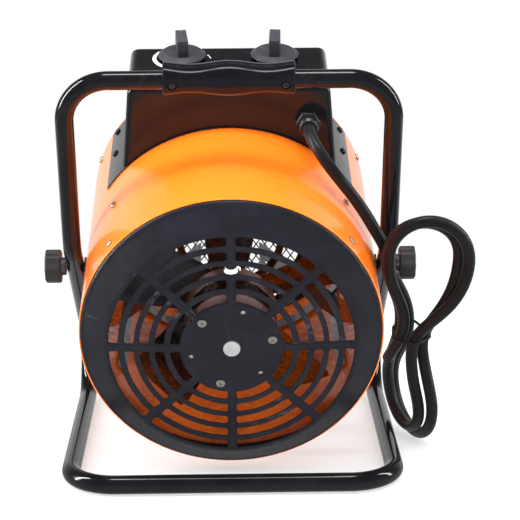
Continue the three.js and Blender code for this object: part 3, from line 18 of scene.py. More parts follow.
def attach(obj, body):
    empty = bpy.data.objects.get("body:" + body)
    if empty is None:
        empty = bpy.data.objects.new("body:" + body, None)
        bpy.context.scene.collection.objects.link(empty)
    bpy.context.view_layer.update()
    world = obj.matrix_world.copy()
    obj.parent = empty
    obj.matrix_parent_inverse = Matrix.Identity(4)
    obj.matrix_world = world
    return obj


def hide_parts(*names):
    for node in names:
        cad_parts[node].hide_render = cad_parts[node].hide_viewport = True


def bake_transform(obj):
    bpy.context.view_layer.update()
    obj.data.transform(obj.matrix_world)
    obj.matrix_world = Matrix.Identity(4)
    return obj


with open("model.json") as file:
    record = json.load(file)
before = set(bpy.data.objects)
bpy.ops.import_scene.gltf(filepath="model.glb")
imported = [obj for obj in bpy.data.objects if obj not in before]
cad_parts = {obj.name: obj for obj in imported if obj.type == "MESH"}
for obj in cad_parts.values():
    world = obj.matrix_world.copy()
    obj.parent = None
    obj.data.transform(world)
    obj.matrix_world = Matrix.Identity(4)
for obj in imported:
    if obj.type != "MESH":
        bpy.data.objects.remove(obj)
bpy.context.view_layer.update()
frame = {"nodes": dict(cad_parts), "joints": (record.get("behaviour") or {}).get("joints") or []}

nodes = frame["nodes"]
joints = {joint["name"]: joint for joint in frame["joints"]}

# %% [markdown]
# ## Two frames to measure in
# The stand is drawn upright and the drum is drawn level, then tilted by 15.4 degrees about the pivot.
# A matrix for each saves all the trigonometry: a piece of the drum is modelled as if the drum lay flat.

# %% Millimetres, the pivot and the two frames
MM = 0.001
pivot = Vector(joints["drum_tilt"]["pos_m"])
DRUM_TILT = math.radians(15.4)
to_metres = Matrix.Scale(MM, 4)
stand_frame = Matrix.Translation((pivot.x, pivot.y, 0)) @ to_metres
drum_frame = Matrix.Translation(pivot) @ Matrix.Rotation(DRUM_TILT, 4, "X") @ to_metres
print("pivot", tuple(pivot))

# %% [markdown]
# ## The camera
# A long lens from two metres away keeps the drum round. The numbers come from matching the drum's rim,
# the box corners and the feet to the picture, so the scene and the picture share one view.

# %% Camera
CAMERA_PLACE = (-3.46, -1921.8, 657.93)
CAMERA_YAW, CAMERA_PITCH, CAMERA_ROLL = (math.radians(a) for a in (1.04, 13.5, -0.37))

look = Vector((math.sin(CAMERA_YAW) * math.cos(CAMERA_PITCH),
               math.cos(CAMERA_YAW) * math.cos(CAMERA_PITCH), -math.sin(CAMERA_PITCH)))
level_right = Vector((math.cos(CAMERA_YAW), -math.sin(CAMERA_YAW), 0))
level_up = level_right.cross(look)
right = level_right * math.cos(CAMERA_ROLL) + level_up * math.sin(CAMERA_ROLL)
up = level_up * math.cos(CAMERA_ROLL) - level_right * math.sin(CAMERA_ROLL)

camera = bpy.data.objects.new("camera", bpy.data.cameras.new("camera"))
camera.data.lens = 128.27
camera.data.sensor_width = 36
camera.matrix_world = (Matrix.Translation(stand_frame @ Vector(CAMERA_PLACE))
                       @ Matrix((right, up, -look)).transposed().to_4x4())
bpy.context.scene.collection.objects.link(camera)
bpy.context.scene.camera = camera
bpy.context.scene.view_settings.view_transform = "Standard"
print("camera at", tuple(camera.location))

# %% [markdown]
# ## A finish, as nodes
# No real surface has one colour. Each finish here starts from the Principled shader and adds three things:
# a broad noise that shifts the tint, a finer one that breaks the gloss, and the finest one as a relief.
# Where edges rub, the pointiness of the mesh picks them out and mixes in the bare material; on the dark
# finishes this lighter edge colour is also a painted highlight along the edges.
# The noises read object coordinates, so the grain keeps its real size and stays on the piece when it moves.

# %% Node helpers
class Wiring:
    """A node tree with small helpers to fill it. A value is a number, a colour or the output of a node."""

    def __init__(self, tree):
        self.tree = tree

    def join(self, value, socket):
        """Links an output to a socket, or writes a plain value into it."""
        if hasattr(value, "is_output"):
            self.tree.links.new(value, socket)
        else:
            socket.default_value = (*value, 1) if socket.type == "RGBA" else value

    def node(self, kind, settings=None, **inputs):
        """Makes a node; settings are its properties, inputs are its sockets by name."""
        made = self.tree.nodes.new(kind)
        for key, value in (settings or {}).items():
            setattr(made, key, value)
        for key, value in inputs.items():
            self.join(value, made.inputs[key.replace("_", " ")])
        return made

    def ramp(self, value, low, high, to_low=0.0, to_high=1.0):
        """Carries the range from low to high over to another range, and holds its ends."""
        return self.node("ShaderNodeMapRange", Value=value, From_Min=low, From_Max=high, To_Min=to_low,
                         To_Max=to_high).outputs["Result"]

    def mix(self, share, first, second):
        """Mixes two colours."""
        made = self.node("ShaderNodeMix", {"data_type": "RGBA"})
        self.join(share, made.inputs["Factor"])
        for socket, value in zip([s for s in made.inputs if s.type == "RGBA"], (first, second)):
            self.join(value, socket)
        return [s for s in made.outputs if s.type == "RGBA"][0]

    def multiply(self, first, second):
        made = self.node("ShaderNodeMath", {"operation": "MULTIPLY"})
        self.join(first, made.inputs[0])
        self.join(second, made.inputs[1])
        return made.outputs[0]

    def mix_shaders(self, share, first, second):
        made = self.node("ShaderNodeMixShader", Fac=share)
        self.join(first, made.inputs[1])
        self.join(second, made.inputs[2])
        return made.outputs[0]


# %% Finish helper
NOISE_ROUGHNESS = 0.55
NOISE_LOW, NOISE_HIGH = 0.3, 0.7


class Finish(Wiring):
    """A material and its Principled shader; each method gives the surface one trait."""

    def __init__(self, name, colour, roughness, metallic=0.0, specular=0.5):
        self.material = bpy.data.materials.new(name)
        self.material.use_nodes = True
        super().__init__(self.material.node_tree)
        self.shader = self.tree.nodes["Principled BSDF"]
        self.colour = colour
        self.set("Base Color", (*colour, 1))
        self.set("Roughness", roughness)
        self.set("Metallic", metallic)
        self.set("Specular IOR Level", specular)
        self.place = self.node("ShaderNodeTexCoord").outputs["Object"]
        self.material.diffuse_color = (*colour, 1)

    def set(self, socket, value):
        self.shader.inputs[socket].default_value = value

    def noise(self, scale, detail=3.0, stretch=None):
        place = self.place
        if stretch:
            place = self.node("ShaderNodeMapping", Vector=place, Scale=stretch).outputs[0]
        return self.node("ShaderNodeTexNoise", Vector=place, Scale=scale, Detail=detail,
                         Roughness=NOISE_ROUGHNESS).outputs["Fac"]

    def wire(self, socket, value):
        self.tree.links.new(value, self.shader.inputs[socket])
        return self

    def tint(self, scale, amount):
        """Shifts the colour a little over the surface."""
        dark = tuple(c * (1 - amount) for c in self.colour)
        light = tuple(min(1.0, c * (1 + amount)) for c in self.colour)
        self.tinted = self.mix(self.ramp(self.noise(scale), NOISE_LOW, NOISE_HIGH), dark, light)
        return self.wire("Base Color", self.tinted)

    def mottled(self, scale, low, high, first, second):
        """Lets two colours drift into each other in patches."""
        return self.wire("Base Color", self.mix(self.ramp(self.noise(scale), low, high), first, second))

    def gloss(self, scale, low, high):
        """Breaks the gloss, as touch marks and dust do."""
        return self.wire("Roughness", self.ramp(self.noise(scale, 4.0), NOISE_LOW, NOISE_HIGH, low, high))

    def grain(self, scale, depth, strength, stretch=None, detail=2.0):
        """Raises a fine relief; depth is in metres."""
        height = self.noise(scale, detail, stretch)
        bump = self.node("ShaderNodeBump", Height=height, Strength=strength, Distance=depth)
        return self.wire("Normal", bump.outputs["Normal"])

    def edge_wear_and_highlight(self, colour, amount, start=0.53, end=0.6):
        """Bares the edges, where paint and plating rub off; on dark finishes the lighter edge is also a
        painted highlight.
        """
        edge = self.ramp(self.node("ShaderNodeNewGeometry").outputs["Pointiness"], start, end)
        wear_and_highlight_share = self.multiply(edge, self.ramp(self.noise(180.0, 5.0), 0.42, 0.62, 0.0, amount))
        # The lighter colour mixed in at the edges is rubbed-off paint and a painted edge highlight at once.
        return self.wire("Base Color", self.mix(wear_and_highlight_share, self.tinted, colour))


print("a finish can have", [name for name in vars(Finish) if not name.startswith("_")])

# %% [markdown]
# ## The finishes of this heater
# The drum has stove enamel with a faint orange peel. The stand has the same enamel in black.
# The grille and knobs are moulded with a spark-eroded grain, the box and grip are moulded smooth.
# Screws are zinc plated, which is why they look grey in one place and yellowish in another.

# %% Paint, plastic and rubber finishes
orange_paint = Finish("orange_enamel", (0.93, 0.17, 0.01), 0.25, 0.0, 0.35).tint(9, 0.035)
orange_paint.set("Coat Weight", 0.5)
orange_paint.set("Coat Roughness", 0.05)
orange_paint.gloss(40, 0.24, 0.3).grain(300, 0.0003, 0.03)

# The lighter edge colours of the dark finishes below are rubbed edges and a painted edge highlight together.
frame_black = Finish("black_enamel", (0.004, 0.004, 0.005), 0.12, 0.0, 0.35).tint(30, 0.3)
frame_black.gloss(70, 0.08, 0.18).grain(380, 0.0004, 0.05).edge_wear_and_highlight((0.06, 0.06, 0.06), 0.4)

grip_black = Finish("smooth_black_moulding", (0.004, 0.004, 0.006), 0.16, 0.0, 0.22).tint(40, 0.25)
grip_black.gloss(90, 0.12, 0.22).grain(300, 0.0003, 0.03).edge_wear_and_highlight((0.035, 0.035, 0.038), 0.5)

clamp_grey = Finish("grained_clamp_moulding", (0.015, 0.015, 0.016), 0.45, 0.0, 0.35).tint(60, 0.2)
clamp_grey.gloss(150, 0.38, 0.55).grain(2400, 0.00015, 0.35).edge_wear_and_highlight((0.09, 0.09, 0.092), 0.6)

box_black = Finish("glossy_black_box", (0.004, 0.004, 0.005), 0.12, 0.0, 0.35).tint(25, 0.25)
box_black.gloss(50, 0.09, 0.16).grain(260, 0.0003, 0.02).edge_wear_and_highlight((0.03, 0.03, 0.034), 0.4, 0.62, 0.7)

grille_black = Finish("grained_black_moulding", (0.0075, 0.0075, 0.0105), 0.38, 0.0, 0.25).tint(45, 0.18)
grille_black.gloss(150, 0.32, 0.44).grain(2600, 0.0001, 0.3).edge_wear_and_highlight((0.05, 0.05, 0.055), 0.6)

knob_grey = Finish("grained_charcoal_moulding", (0.03, 0.027, 0.033), 0.5, 0.0, 0.4).tint(60, 0.15)
knob_grey.gloss(160, 0.42, 0.58).grain(3000, 0.00012, 0.4).edge_wear_and_highlight((0.11, 0.105, 0.115), 0.5)

cable_rubber = Finish("black_rubber", (0.004, 0.004, 0.0045), 0.42, 0.0, 0.3).tint(60, 0.2)
cable_rubber.gloss(120, 0.36, 0.56).grain(700, 0.0003, 0.12)
cable_rubber.set("Sheen Weight", 0.04)
cable_rubber.set("Sheen Roughness", 0.4)

white_nylon = Finish("white_nylon", (0.82, 0.81, 0.78), 0.35).tint(120, 0.04)
white_nylon.gloss(300, 0.28, 0.42).grain(900, 0.0002, 0.1)
switch_brown = Finish("brown_phenolic", (0.16, 0.07, 0.03), 0.45).tint(150, 0.2)
switch_brown.gloss(200, 0.35, 0.55).grain(1500, 0.0002, 0.2)
print(len(bpy.data.materials), "materials so far")

# %% Metal finishes
zinc = Finish("zinc_plating", (0.8, 0.8, 0.78), 0.3, 1.0).gloss(500, 0.22, 0.4)
zinc.grain(1600, 0.0002, 0.15).mottled(110.0, 0.4, 0.65, (0.62, 0.62, 0.6), (0.7, 0.64, 0.48))

steel = Finish("galvanised_sheet", (0.42, 0.43, 0.44), 0.38, 1.0).tint(70, 0.25)
steel.gloss(180, 0.3, 0.5).grain(500, 0.0003, 0.15, (1, 0.15, 1))
fan_steel = Finish("rolled_steel_blades", (0.3, 0.31, 0.33), 0.25, 1.0).tint(50, 0.15)
fan_steel.gloss(120, 0.18, 0.34).grain(500, 0.0002, 0.06)
dark_steel = Finish("blackened_steel", (0.06, 0.065, 0.075), 0.3, 0.9).tint(60, 0.25)
dark_steel.gloss(120, 0.2, 0.38).grain(900, 0.0002, 0.12).edge_wear_and_highlight((0.3, 0.3, 0.31), 0.5)
element_steel = Finish("heat_tinted_sheath", (0.14, 0.125, 0.12), 0.42, 0.9).gloss(90, 0.35, 0.55)
element_steel.grain(1200, 0.0003, 0.2).mottled(18.0, 0.42, 0.62, (0.14, 0.13, 0.13), (0.22, 0.13, 0.075))
motor_alloy = Finish("cast_aluminium", (0.78, 0.78, 0.79), 0.42, 0.85).tint(50, 0.12)
motor_alloy.gloss(140, 0.35, 0.55).grain(420, 0.0006, 0.35, None, 5.0)
mesh_black = Finish("black_dipped_mesh", (0.01, 0.01, 0.011), 0.35).tint(80, 0.25)
mesh_black.gloss(200, 0.28, 0.45).grain(1400, 0.0002, 0.2).edge_wear_and_highlight((0.1, 0.1, 0.1), 0.5)

copper = Finish("enamelled_copper", (0.58, 0.24, 0.09), 0.28, 1.0)
strands = copper.node("ShaderNodeTexWave", {"wave_type": "RINGS", "rings_direction": "Y"},
                      Vector=copper.place, Scale=260.0, Distortion=1.5, Detail=1.0).outputs["Fac"]
copper.wire("Base Color", copper.mix(strands, (0.3, 0.1, 0.03), (0.72, 0.33, 0.14)))
wires = copper.node("ShaderNodeBump", Height=strands, Strength=0.6, Distance=0.0006)
copper.wire("Normal", wires.outputs["Normal"])
copper.gloss(400, 0.2, 0.38)
print(len(bpy.data.materials), "materials in all")

# %% [markdown]
# ## Mesh helpers
# Four ways of making a mesh cover nearly the whole heater: turning an outline on a lathe, sweeping a section
# along a path, stacking an outline in rounded layers, and carving one mesh with another.
# They are written in bmesh, which gives full control over every face, and each keeps real edge roundings:
# an edge without one never catches the light and looks like plastic toy bricks.

# %% Points and outlines
def around(angle, radius, along=0.0):
    """A point on a circle round the drum's axis; the angle counts from straight up towards +X."""
    turn = math.radians(angle)
    return Vector((radius * math.sin(turn), along, radius * math.cos(turn)))


def soften(points, radius, steps=3, closed=True):
    """Rounds the corners of a flat outline; radius is a number or a list, one for each corner."""
    points = [Vector(p) for p in points]
    radii = radius if isinstance(radius, (list, tuple)) else [radius] * len(points)
    rounded = []
    for i, here in enumerate(points):
        if radii[i] <= 0 or (not closed and i in (0, len(points) - 1)):
            rounded.append(here)
            continue
        back = points[i - 1] - here
        ahead = points[(i + 1) % len(points)] - here
        angle = back.angle(ahead)
        reach = min(radii[i] / max(math.tan(angle / 2), 1e-6), back.length * 0.49, ahead.length * 0.49)
        start, end = here + back.normalized() * reach, here + ahead.normalized() * reach
        for k in range(steps + 1):
            t = k / steps
            rounded.append(start * (1 - t) ** 2 + here * 2 * t * (1 - t) + end * t ** 2)
    return rounded


def rectangle(left, low, right, high, radius=0, steps=3):
    """A flat rectangle, counter-clockwise, with rounded corners."""
    return soften([(left, low), (right, low), (right, high), (left, high)], radius, steps)


def offset(outline, inset):
    """Moves a counter-clockwise outline inwards by an inset."""
    moved = []
    count = len(outline)
    for i, here in enumerate(outline):
        before, after = outline[i - 1], outline[(i + 1) % count]
        first = Vector((before.y - here.y, here.x - before.x)).normalized()
        second = Vector((here.y - after.y, after.x - here.x)).normalized()
        normal = (first + second).normalized()
        reach = inset / max(normal.dot(second), 0.3)
        moved.append(here + normal * reach)
    return moved


# %% Lathe, sweep and stack
def skin(rings, closed_path=False):
    """Joins rings of points, one after another, into a tube of faces."""
    bm = bmesh.new()
    made = [[bm.verts.new(p) for p in ring] for ring in rings]
    pairs = list(zip(made, made[1:])) + ([(made[-1], made[0])] if closed_path else [])
    for low, high in pairs:
        count = len(low)
        for k in range(count):
            n = (k + 1) % count
            bm.faces.new((low[k], low[n], high[n], high[k]))
    if not closed_path:
        bm.faces.new(reversed(made[0]))
        bm.faces.new(made[-1])
    return bm


def lathe(profile, steps, whole=True):
    """Turns [radius, along] corners about the Y axis; with whole the outline closes on itself."""
    bm = bmesh.new()
    loops = []
    for radius, along in profile:
        if radius < 1e-6:
            loops.append([bm.verts.new((0, along, 0))] * steps)
        else:
            loops.append([bm.verts.new(around(360 * k / steps, radius, along)) for k in range(steps)])
    pairs = list(zip(loops, loops[1:])) + ([(loops[-1], loops[0])] if whole else [])
    for low, high in pairs:
        for k in range(steps):
            n = (k + 1) % steps
            corners = [low[k], low[n], high[n], high[k]]
            unique = [v for i, v in enumerate(corners) if v not in corners[:i]]
            if len(unique) > 2:
                bm.faces.new(unique)
    return bm


def sweep(path, section, closed=False, start_normal=None):
    """Carries a flat section along a path without twist; section(i, share) gives (u, v) points."""
    path = [Vector(p) for p in path]
    count = len(path)
    tangents = []
    for i in range(count):
        before = path[i - 1] if closed or i > 0 else path[i]
        after = path[(i + 1) % count] if closed or i < count - 1 else path[i]
        tangents.append((after - before).normalized())
    side = start_normal or (Vector((1, 0, 0)) if abs(tangents[0].x) < 0.9 else Vector((0, 0, 1)))
    normal = (side - tangents[0] * side.dot(tangents[0])).normalized()
    rings = []
    for i, tangent in enumerate(tangents):
        if i:
            normal = tangents[i - 1].rotation_difference(tangent) @ normal
        other = tangent.cross(normal)
        rings.append([path[i] + normal * u + other * v for u, v in section(i, i / max(count - 1, 1))])
    return skin(rings, closed_path=closed)


def circle(radius, sides):
    return [(radius * math.cos(2 * math.pi * k / sides), radius * math.sin(2 * math.pi * k / sides))
            for k in range(sides)]


def tube(path, radius, sides, closed=False):
    ring = circle(radius, sides)
    return sweep(path, lambda i, share: ring, closed)


def stack(outline, layers, frame_of=None):
    """Stacks insets of one outline at heights; layers are (height, inset) pairs, along Z."""
    outline = [Vector(p) for p in outline]
    rings = [[Vector((*p, height)) for p in offset(outline, inset)] for height, inset in layers]
    bm = skin(rings)
    if frame_of:
        bm.transform(frame_of)
    return bm


def round_layers(low, high, radius, steps=4):
    """The layers of a slab whose upper and lower edges are rounded."""
    turn = [(math.pi / 2) * k / steps for k in range(steps + 1)]
    bottom = [(low + radius * (1 - math.sin(a)), radius * (1 - math.cos(a))) for a in turn]
    top = [(high - radius * (1 - math.sin(a)), radius * (1 - math.cos(a))) for a in turn]
    return list(reversed(bottom)) + top


# Swaps Y and Z, so that what is stacked or turned along one runs along the other.
flip_yz = Matrix(((1, 0, 0, 0), (0, 0, 1, 0), (0, 1, 0, 0), (0, 0, 0, 1)))


def aimed(direction, axis="Z", upward="Y"):
    """The turn that brings an axis into a direction."""
    return Vector(direction).to_track_quat(axis, upward).to_matrix().to_4x4()


def bent(corners, radii, step):
    """Corners joined by straights and round bends, as a tube bender makes them."""
    corners = [Vector(c) for c in corners]
    path = [corners[0]]
    for i in range(1, len(corners) - 1):
        here = corners[i]
        back, ahead = (corners[i - 1] - here).normalized(), (corners[i + 1] - here).normalized()
        opening = back.angle(ahead)
        radius = radii[i - 1]
        centre = here + (back + ahead).normalized() * radius / math.sin(opening / 2)
        reach = radius / math.tan(opening / 2)
        first, last = here + back * reach - centre, here + ahead * reach - centre
        axis = first.cross(last).normalized()
        steps = max(2, round(math.degrees(math.pi - opening) / step))
        for j in range(steps + 1):
            path.append(centre + Matrix.Rotation((math.pi - opening) * j / steps, 3, axis) @ first)
    return path + [corners[-1]]


# %% Carve, join and finish a piece
def merged(*parts):
    """Puts several meshes in one."""
    whole = bmesh.new()
    for part in parts:
        mesh = bpy.data.meshes.new("part")
        part.to_mesh(mesh)
        part.free()
        whole.from_mesh(mesh)
        bpy.data.meshes.remove(mesh)
    return whole


def moved(bm, matrix):
    bm.transform(matrix)
    return bm


def carve(body, tools):
    """Cuts the tools out of the body."""
    made = []
    for part in (body, tools):
        bmesh.ops.recalc_face_normals(part, faces=part.faces)
        mesh = bpy.data.meshes.new("carving")
        part.to_mesh(mesh)
        part.free()
        made.append(bpy.data.objects.new("carving", mesh))
        bpy.context.scene.collection.objects.link(made[-1])
    knife = made[0].modifiers.new("carve", "BOOLEAN")
    knife.operation, knife.object, knife.solver = "DIFFERENCE", made[1], "MANIFOLD"
    result = bmesh.new()
    result.from_object(made[0], bpy.context.evaluated_depsgraph_get())
    for thing in made:
        mesh = thing.data
        bpy.data.objects.remove(thing)
        bpy.data.meshes.remove(mesh)
    return result


def piece(name, bm, place, body, finish, replaces=(), sharp=30.0):
    """Turns a mesh in millimetres into a named piece on a body, with its finish."""
    bm.transform(place)
    bmesh.ops.remove_doubles(bm, verts=bm.verts, dist=1e-7)
    bmesh.ops.recalc_face_normals(bm, faces=bm.faces)
    mesh = bpy.data.meshes.new(name)
    bm.to_mesh(mesh)
    bm.free()
    mesh.shade_smooth()
    mesh.set_sharp_from_angle(angle=math.radians(sharp))
    mesh.materials.append(finish.material)
    made = bpy.data.objects.new(name, mesh)
    bpy.context.scene.collection.objects.link(made)
    made.modifiers.new("flat_faces_stay_flat", "WEIGHTED_NORMAL").keep_sharp = True
    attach(made, body)
    if replaces:
        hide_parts(*replaces)
    return made


print("mesh helpers ready")

# %% [markdown]
# ## The mains cable
# The cable is 12.5 mm rubber cable. It leaves the gland, drops past the drum and is folded twice into a hank
# that leans on the upright. The hank is a formula, not a drawing: a closed outline with two round ends and a
# waist, followed for a little more than two turns. Every turn lies a cable in front of the one before, the
# lower end is twisted, and the whole hank leans. A formula keeps the spacing even, so no strand can sink into
# its neighbour.

# %% The hank as a formula
CABLE_DIAMETER = 12.5
CABLE_RADIUS = CABLE_DIAMETER / 2
HANK_HEIGHT = 271
TOP_RADIUS, BOTTOM_RADIUS = 46, 46.2
TOP_INSET, BOTTOM_INSET = 9, 9.3
WAIST, WAIST_HEIGHT = 13.3, 124.6
SPACING, LOW_SPACING, THIRD_STEP = 14.5, 9.4, 14.2
HANK_LEAN, HANK_ROLL, HANK_TWIST = math.radians(16.3), math.radians(0.9), math.radians(68)
HANK_PLACE = Vector((193.8, -0.8, 0))
HANK_BOW, BOW_HEIGHT, BOW_REACH = -5.4, 0.6, 0.13
HANK_START, HANK_END = 0.13, 2.3


def smooth(start, end, value):
    share = min(max((value - start) / (end - start), 0), 1)
    return share * share * (3 - 2 * share)


def blend_of(first, second, share):
    return first + (second - first) * share


def outline_point(turns, top_inset, bottom_inset):
    """Half the waisted outline: how far out and how high the cable is after some turns."""
    top_quarter, bottom_quarter = math.pi / 2 * TOP_RADIUS, math.pi / 2 * BOTTOM_RADIUS
    run = HANK_HEIGHT - TOP_RADIUS - BOTTOM_RADIUS
    whole = 2 * (top_quarter + bottom_quarter + run)
    top_share, bottom_share = top_quarter / whole, 0.5 - bottom_quarter / whole
    half = turns % 1 if turns % 1 < 0.5 else 1 - turns % 1
    side = -1 if turns % 1 < 0.5 else 1
    top, bottom = TOP_RADIUS - top_inset, BOTTOM_RADIUS - bottom_inset
    if half < top_share:
        angle = math.pi / 2 * half / top_share
        return side * top * math.sin(angle), HANK_HEIGHT - TOP_RADIUS + top * math.cos(angle)
    if half > bottom_share:
        angle = math.pi / 2 * (0.5 - half) / (0.5 - bottom_share)
        return side * bottom * math.sin(angle), BOTTOM_RADIUS - bottom * math.cos(angle)
    along = (half - top_share) / (bottom_share - top_share)
    power = math.log(0.5) / math.log(1 - (WAIST_HEIGHT - BOTTOM_RADIUS) / run)
    waist = (1 - math.cos(2 * math.pi * along ** power)) / 2
    radius = blend_of(bottom, top, smooth(0.2, 0.75, 1 - along))
    return side * blend_of(radius, WAIST, waist), HANK_HEIGHT - TOP_RADIUS - run * along


def hank_point(turns):
    """The middle of the cable after some turns of the hank."""
    out, rise = outline_point(turns, TOP_INSET * (1 - smooth(1.3, 1.6, turns)),
                              BOTTOM_INSET * smooth(0.7, 1.2, turns))
    height = rise / HANK_HEIGHT
    step = blend_of(LOW_SPACING, SPACING, smooth(0.08, 0.32, height))
    depth = step * smooth(0.62, 0.86, turns) + THIRD_STEP * smooth(1.62, 1.86, turns)
    out += WAIST * smooth(1.9, 2.24, turns)
    twist = HANK_TWIST * (1 - smooth(0.25, 0.84, height))
    bow = HANK_BOW * math.exp(-((height - BOW_HEIGHT) / BOW_REACH) ** 2)
    flat = Vector((out * math.cos(twist) - depth * math.sin(twist) - bow,
                   -out * math.sin(twist) - depth * math.cos(twist), rise))
    rolled = Matrix.Rotation(HANK_ROLL, 3, "Y") @ flat
    return Matrix.Rotation(HANK_LEAN, 3, "X") @ rolled + HANK_PLACE


HANK_STEPS, FLOOR_GAP = 340, 0.25
hank_line = [hank_point(HANK_START + (HANK_END - HANK_START) * i / HANK_STEPS) for i in range(HANK_STEPS + 1)]
lift = CABLE_RADIUS + FLOOR_GAP - min(point.z for point in hank_line)
hank_line = [point + Vector((0, 0, lift)) for point in hank_line]
for end, inner in ((0, 1), (-1, -2)):
    straight = (hank_line[end] - hank_line[inner]).normalized() * CABLE_DIAMETER
    hank_line.insert(0 if end == 0 else len(hank_line), hank_line[end] + straight)
print("hank from", tuple(round(c, 1) for c in hank_line[0]), "to", tuple(round(c, 1) for c in hank_line[-1]))

# %% [markdown]
# The free lead was placed point by point: straight out of the gland, down in front of the upright, and into
# the back of the hank. A smooth curve through the points, then even steps along it, gives the centre line.

# %% The free lead and the whole centre line
GLAND_X, GLAND_Z = 81.5, 159
LEAD_POINTS = [(84.5, -65, 336), (91, -76, 326), (100, -82.5, 313.5), (110, -85, 300.5), (121, -85, 287),
               (132, -82.5, 271.5), (141, -78.5, 257), (148, -74, 244)]


def in_stand(point):
    """A point of the drum, in the stand's millimetres."""
    return stand_frame.inverted() @ (drum_frame @ Vector(point))


def through(points, step):
    """A smooth curve through points (centripetal Catmull-Rom), in even steps."""
    points = [points[0] * 2 - points[1], *points, points[-1] * 2 - points[-2]]
    fine = []
    for a, b, c, d in zip(points, points[1:], points[2:], points[3:]):
        t1 = (b - a).length ** 0.5
        t2 = t1 + (c - b).length ** 0.5
        t3 = t2 + (d - c).length ** 0.5
        for k in range(24):
            t = t1 + (t2 - t1) * k / 24
            one = a * (t1 - t) / t1 + b * t / t1
            two = b * (t2 - t) / (t2 - t1) + c * (t - t1) / (t2 - t1)
            three = c * (t3 - t) / (t3 - t2) + d * (t - t2) / (t3 - t2)
            four = one * (t2 - t) / t2 + two * t / t2
            five = two * (t3 - t) / (t3 - t1) + three * (t - t1) / (t3 - t1)
            fine.append(four * (t2 - t) / (t2 - t1) + five * (t - t1) / (t2 - t1))
    return even(fine + [points[-2]], step)


def length_of(line):
    return sum((b - a).length for a, b in zip(line, line[1:]))


def even(line, step):
    """The same line with points at even steps."""
    total = length_of(line)
    count = max(2, round(total / step))
    made, walked, i = [line[0].copy()], 0.0, 0
    for k in range(1, count):
        goal = total * k / count
        while walked + (line[i + 1] - line[i]).length < goal:
            walked += (line[i + 1] - line[i]).length
            i += 1
        made.append(line[i].lerp(line[i + 1], (goal - walked) / (line[i + 1] - line[i]).length))
    return made + [line[-1].copy()]


def eased(line, rounds):
    """Irons out small kinks: every inner point moves half way to the middle of its neighbours."""
    for _ in range(rounds):
        line = [line[0], *[(a + b * 2 + c) / 4 for a, b, c in zip(line, line[1:], line[2:])], line[-1]]
    return line


CABLE_STEP, EASING = 3.0, 12
seat = in_stand((GLAND_X, 2.9, GLAND_Z))
mouth = in_stand((GLAND_X, -9.55, GLAND_Z))
lead_line = through([seat, mouth, *(Vector(p) for p in LEAD_POINTS), hank_line[0]], CABLE_STEP)
cable_line = even(eased(even(lead_line + hank_line[1:], CABLE_STEP), EASING), CABLE_STEP)
cable_length = length_of(cable_line)
print("cable", round(cable_length), "mm, of which the free lead is", round(length_of(lead_line)), "mm")

# %% [markdown]
# The rubber is a tube of 20 sides with one ring every 3 mm. It runs from the gland on the drum to the stand.
# The cut end shows its three cores and their copper.

# %% Cable
CABLE_SKIN = 0.05
END_ROUNDING = (0.6, 0.2)


def cable_section(i, share):
    """The round section, a little smaller at both cut ends."""
    from_end = min(i, len(cable_line) - 1 - i)
    rounding = END_ROUNDING[from_end] if from_end < len(END_ROUNDING) else 0
    return circle(CABLE_RADIUS - CABLE_SKIN - rounding, 20)


cable_tube = sweep(cable_line, cable_section)
cable_tube.transform(stand_frame)
cable_mesh = bpy.data.meshes.new("mains_cable")
bmesh.ops.recalc_face_normals(cable_tube, faces=cable_tube.faces)
cable_tube.to_mesh(cable_mesh)
cable_tube.free()
cable_mesh.shade_smooth()
cable_mesh.set_sharp_from_angle(angle=math.radians(50))
cable_mesh.materials.append(cable_rubber.material)
cable = bpy.data.objects.new("mains_cable", cable_mesh)
bpy.context.scene.collection.objects.link(cable)
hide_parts("cord_lead", "cord_hank")
cable_path = [stand_frame @ point for point in even(cable_line, 8.0)]
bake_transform(cable)

CORE_CIRCLE, CORE_START = 2.3, 0.4
core_colours = {"core_brown": (0.2, 0.07, 0.03), "core_blue": (0.02, 0.09, 0.4),
                "core_green": (0.1, 0.35, 0.05)}
end_place = stand_frame @ Matrix.Translation(cable_line[-1]) @ aimed(cable_line[-1] - cable_line[-2])


def core(k, radius, low, high, edge, sides):
    """A round rod at the place of one of the three cores."""
    angle = 2 * math.pi * k / 3 + CORE_START
    return moved(stack(circle(radius, sides), round_layers(low, high, edge)),
                 Matrix.Translation((CORE_CIRCLE * math.cos(angle), CORE_CIRCLE * math.sin(angle), 0)))


for k, (name, colour) in enumerate(core_colours.items()):
    finish = Finish(name, colour, 0.4).tint(400, 0.15)
    finish.gloss(500, 0.3, 0.5).grain(1500, 0.0002, 0.2)
    piece(name, core(k, 1.75, -1.5, 0.55, 0.25, 16), end_place, "stand",
                             finish)
copper_strands = merged(*[core(k, 0.85, -1, 0.9, 0.2, 12) for k in range(3)])
piece("core_strands", copper_strands, end_place, "stand", copper)
print("cable mesh:", len(cable_mesh.polygons), "faces, length", round(length_of(cable_path), 3), "m")

# %% [markdown]
# A twist tie holds the hank at its waist. To find its shape, the strands are cut by a plane through the
# waist; the tie is the tight hull round the cut circles, swept twice, with its two ends twisted together.

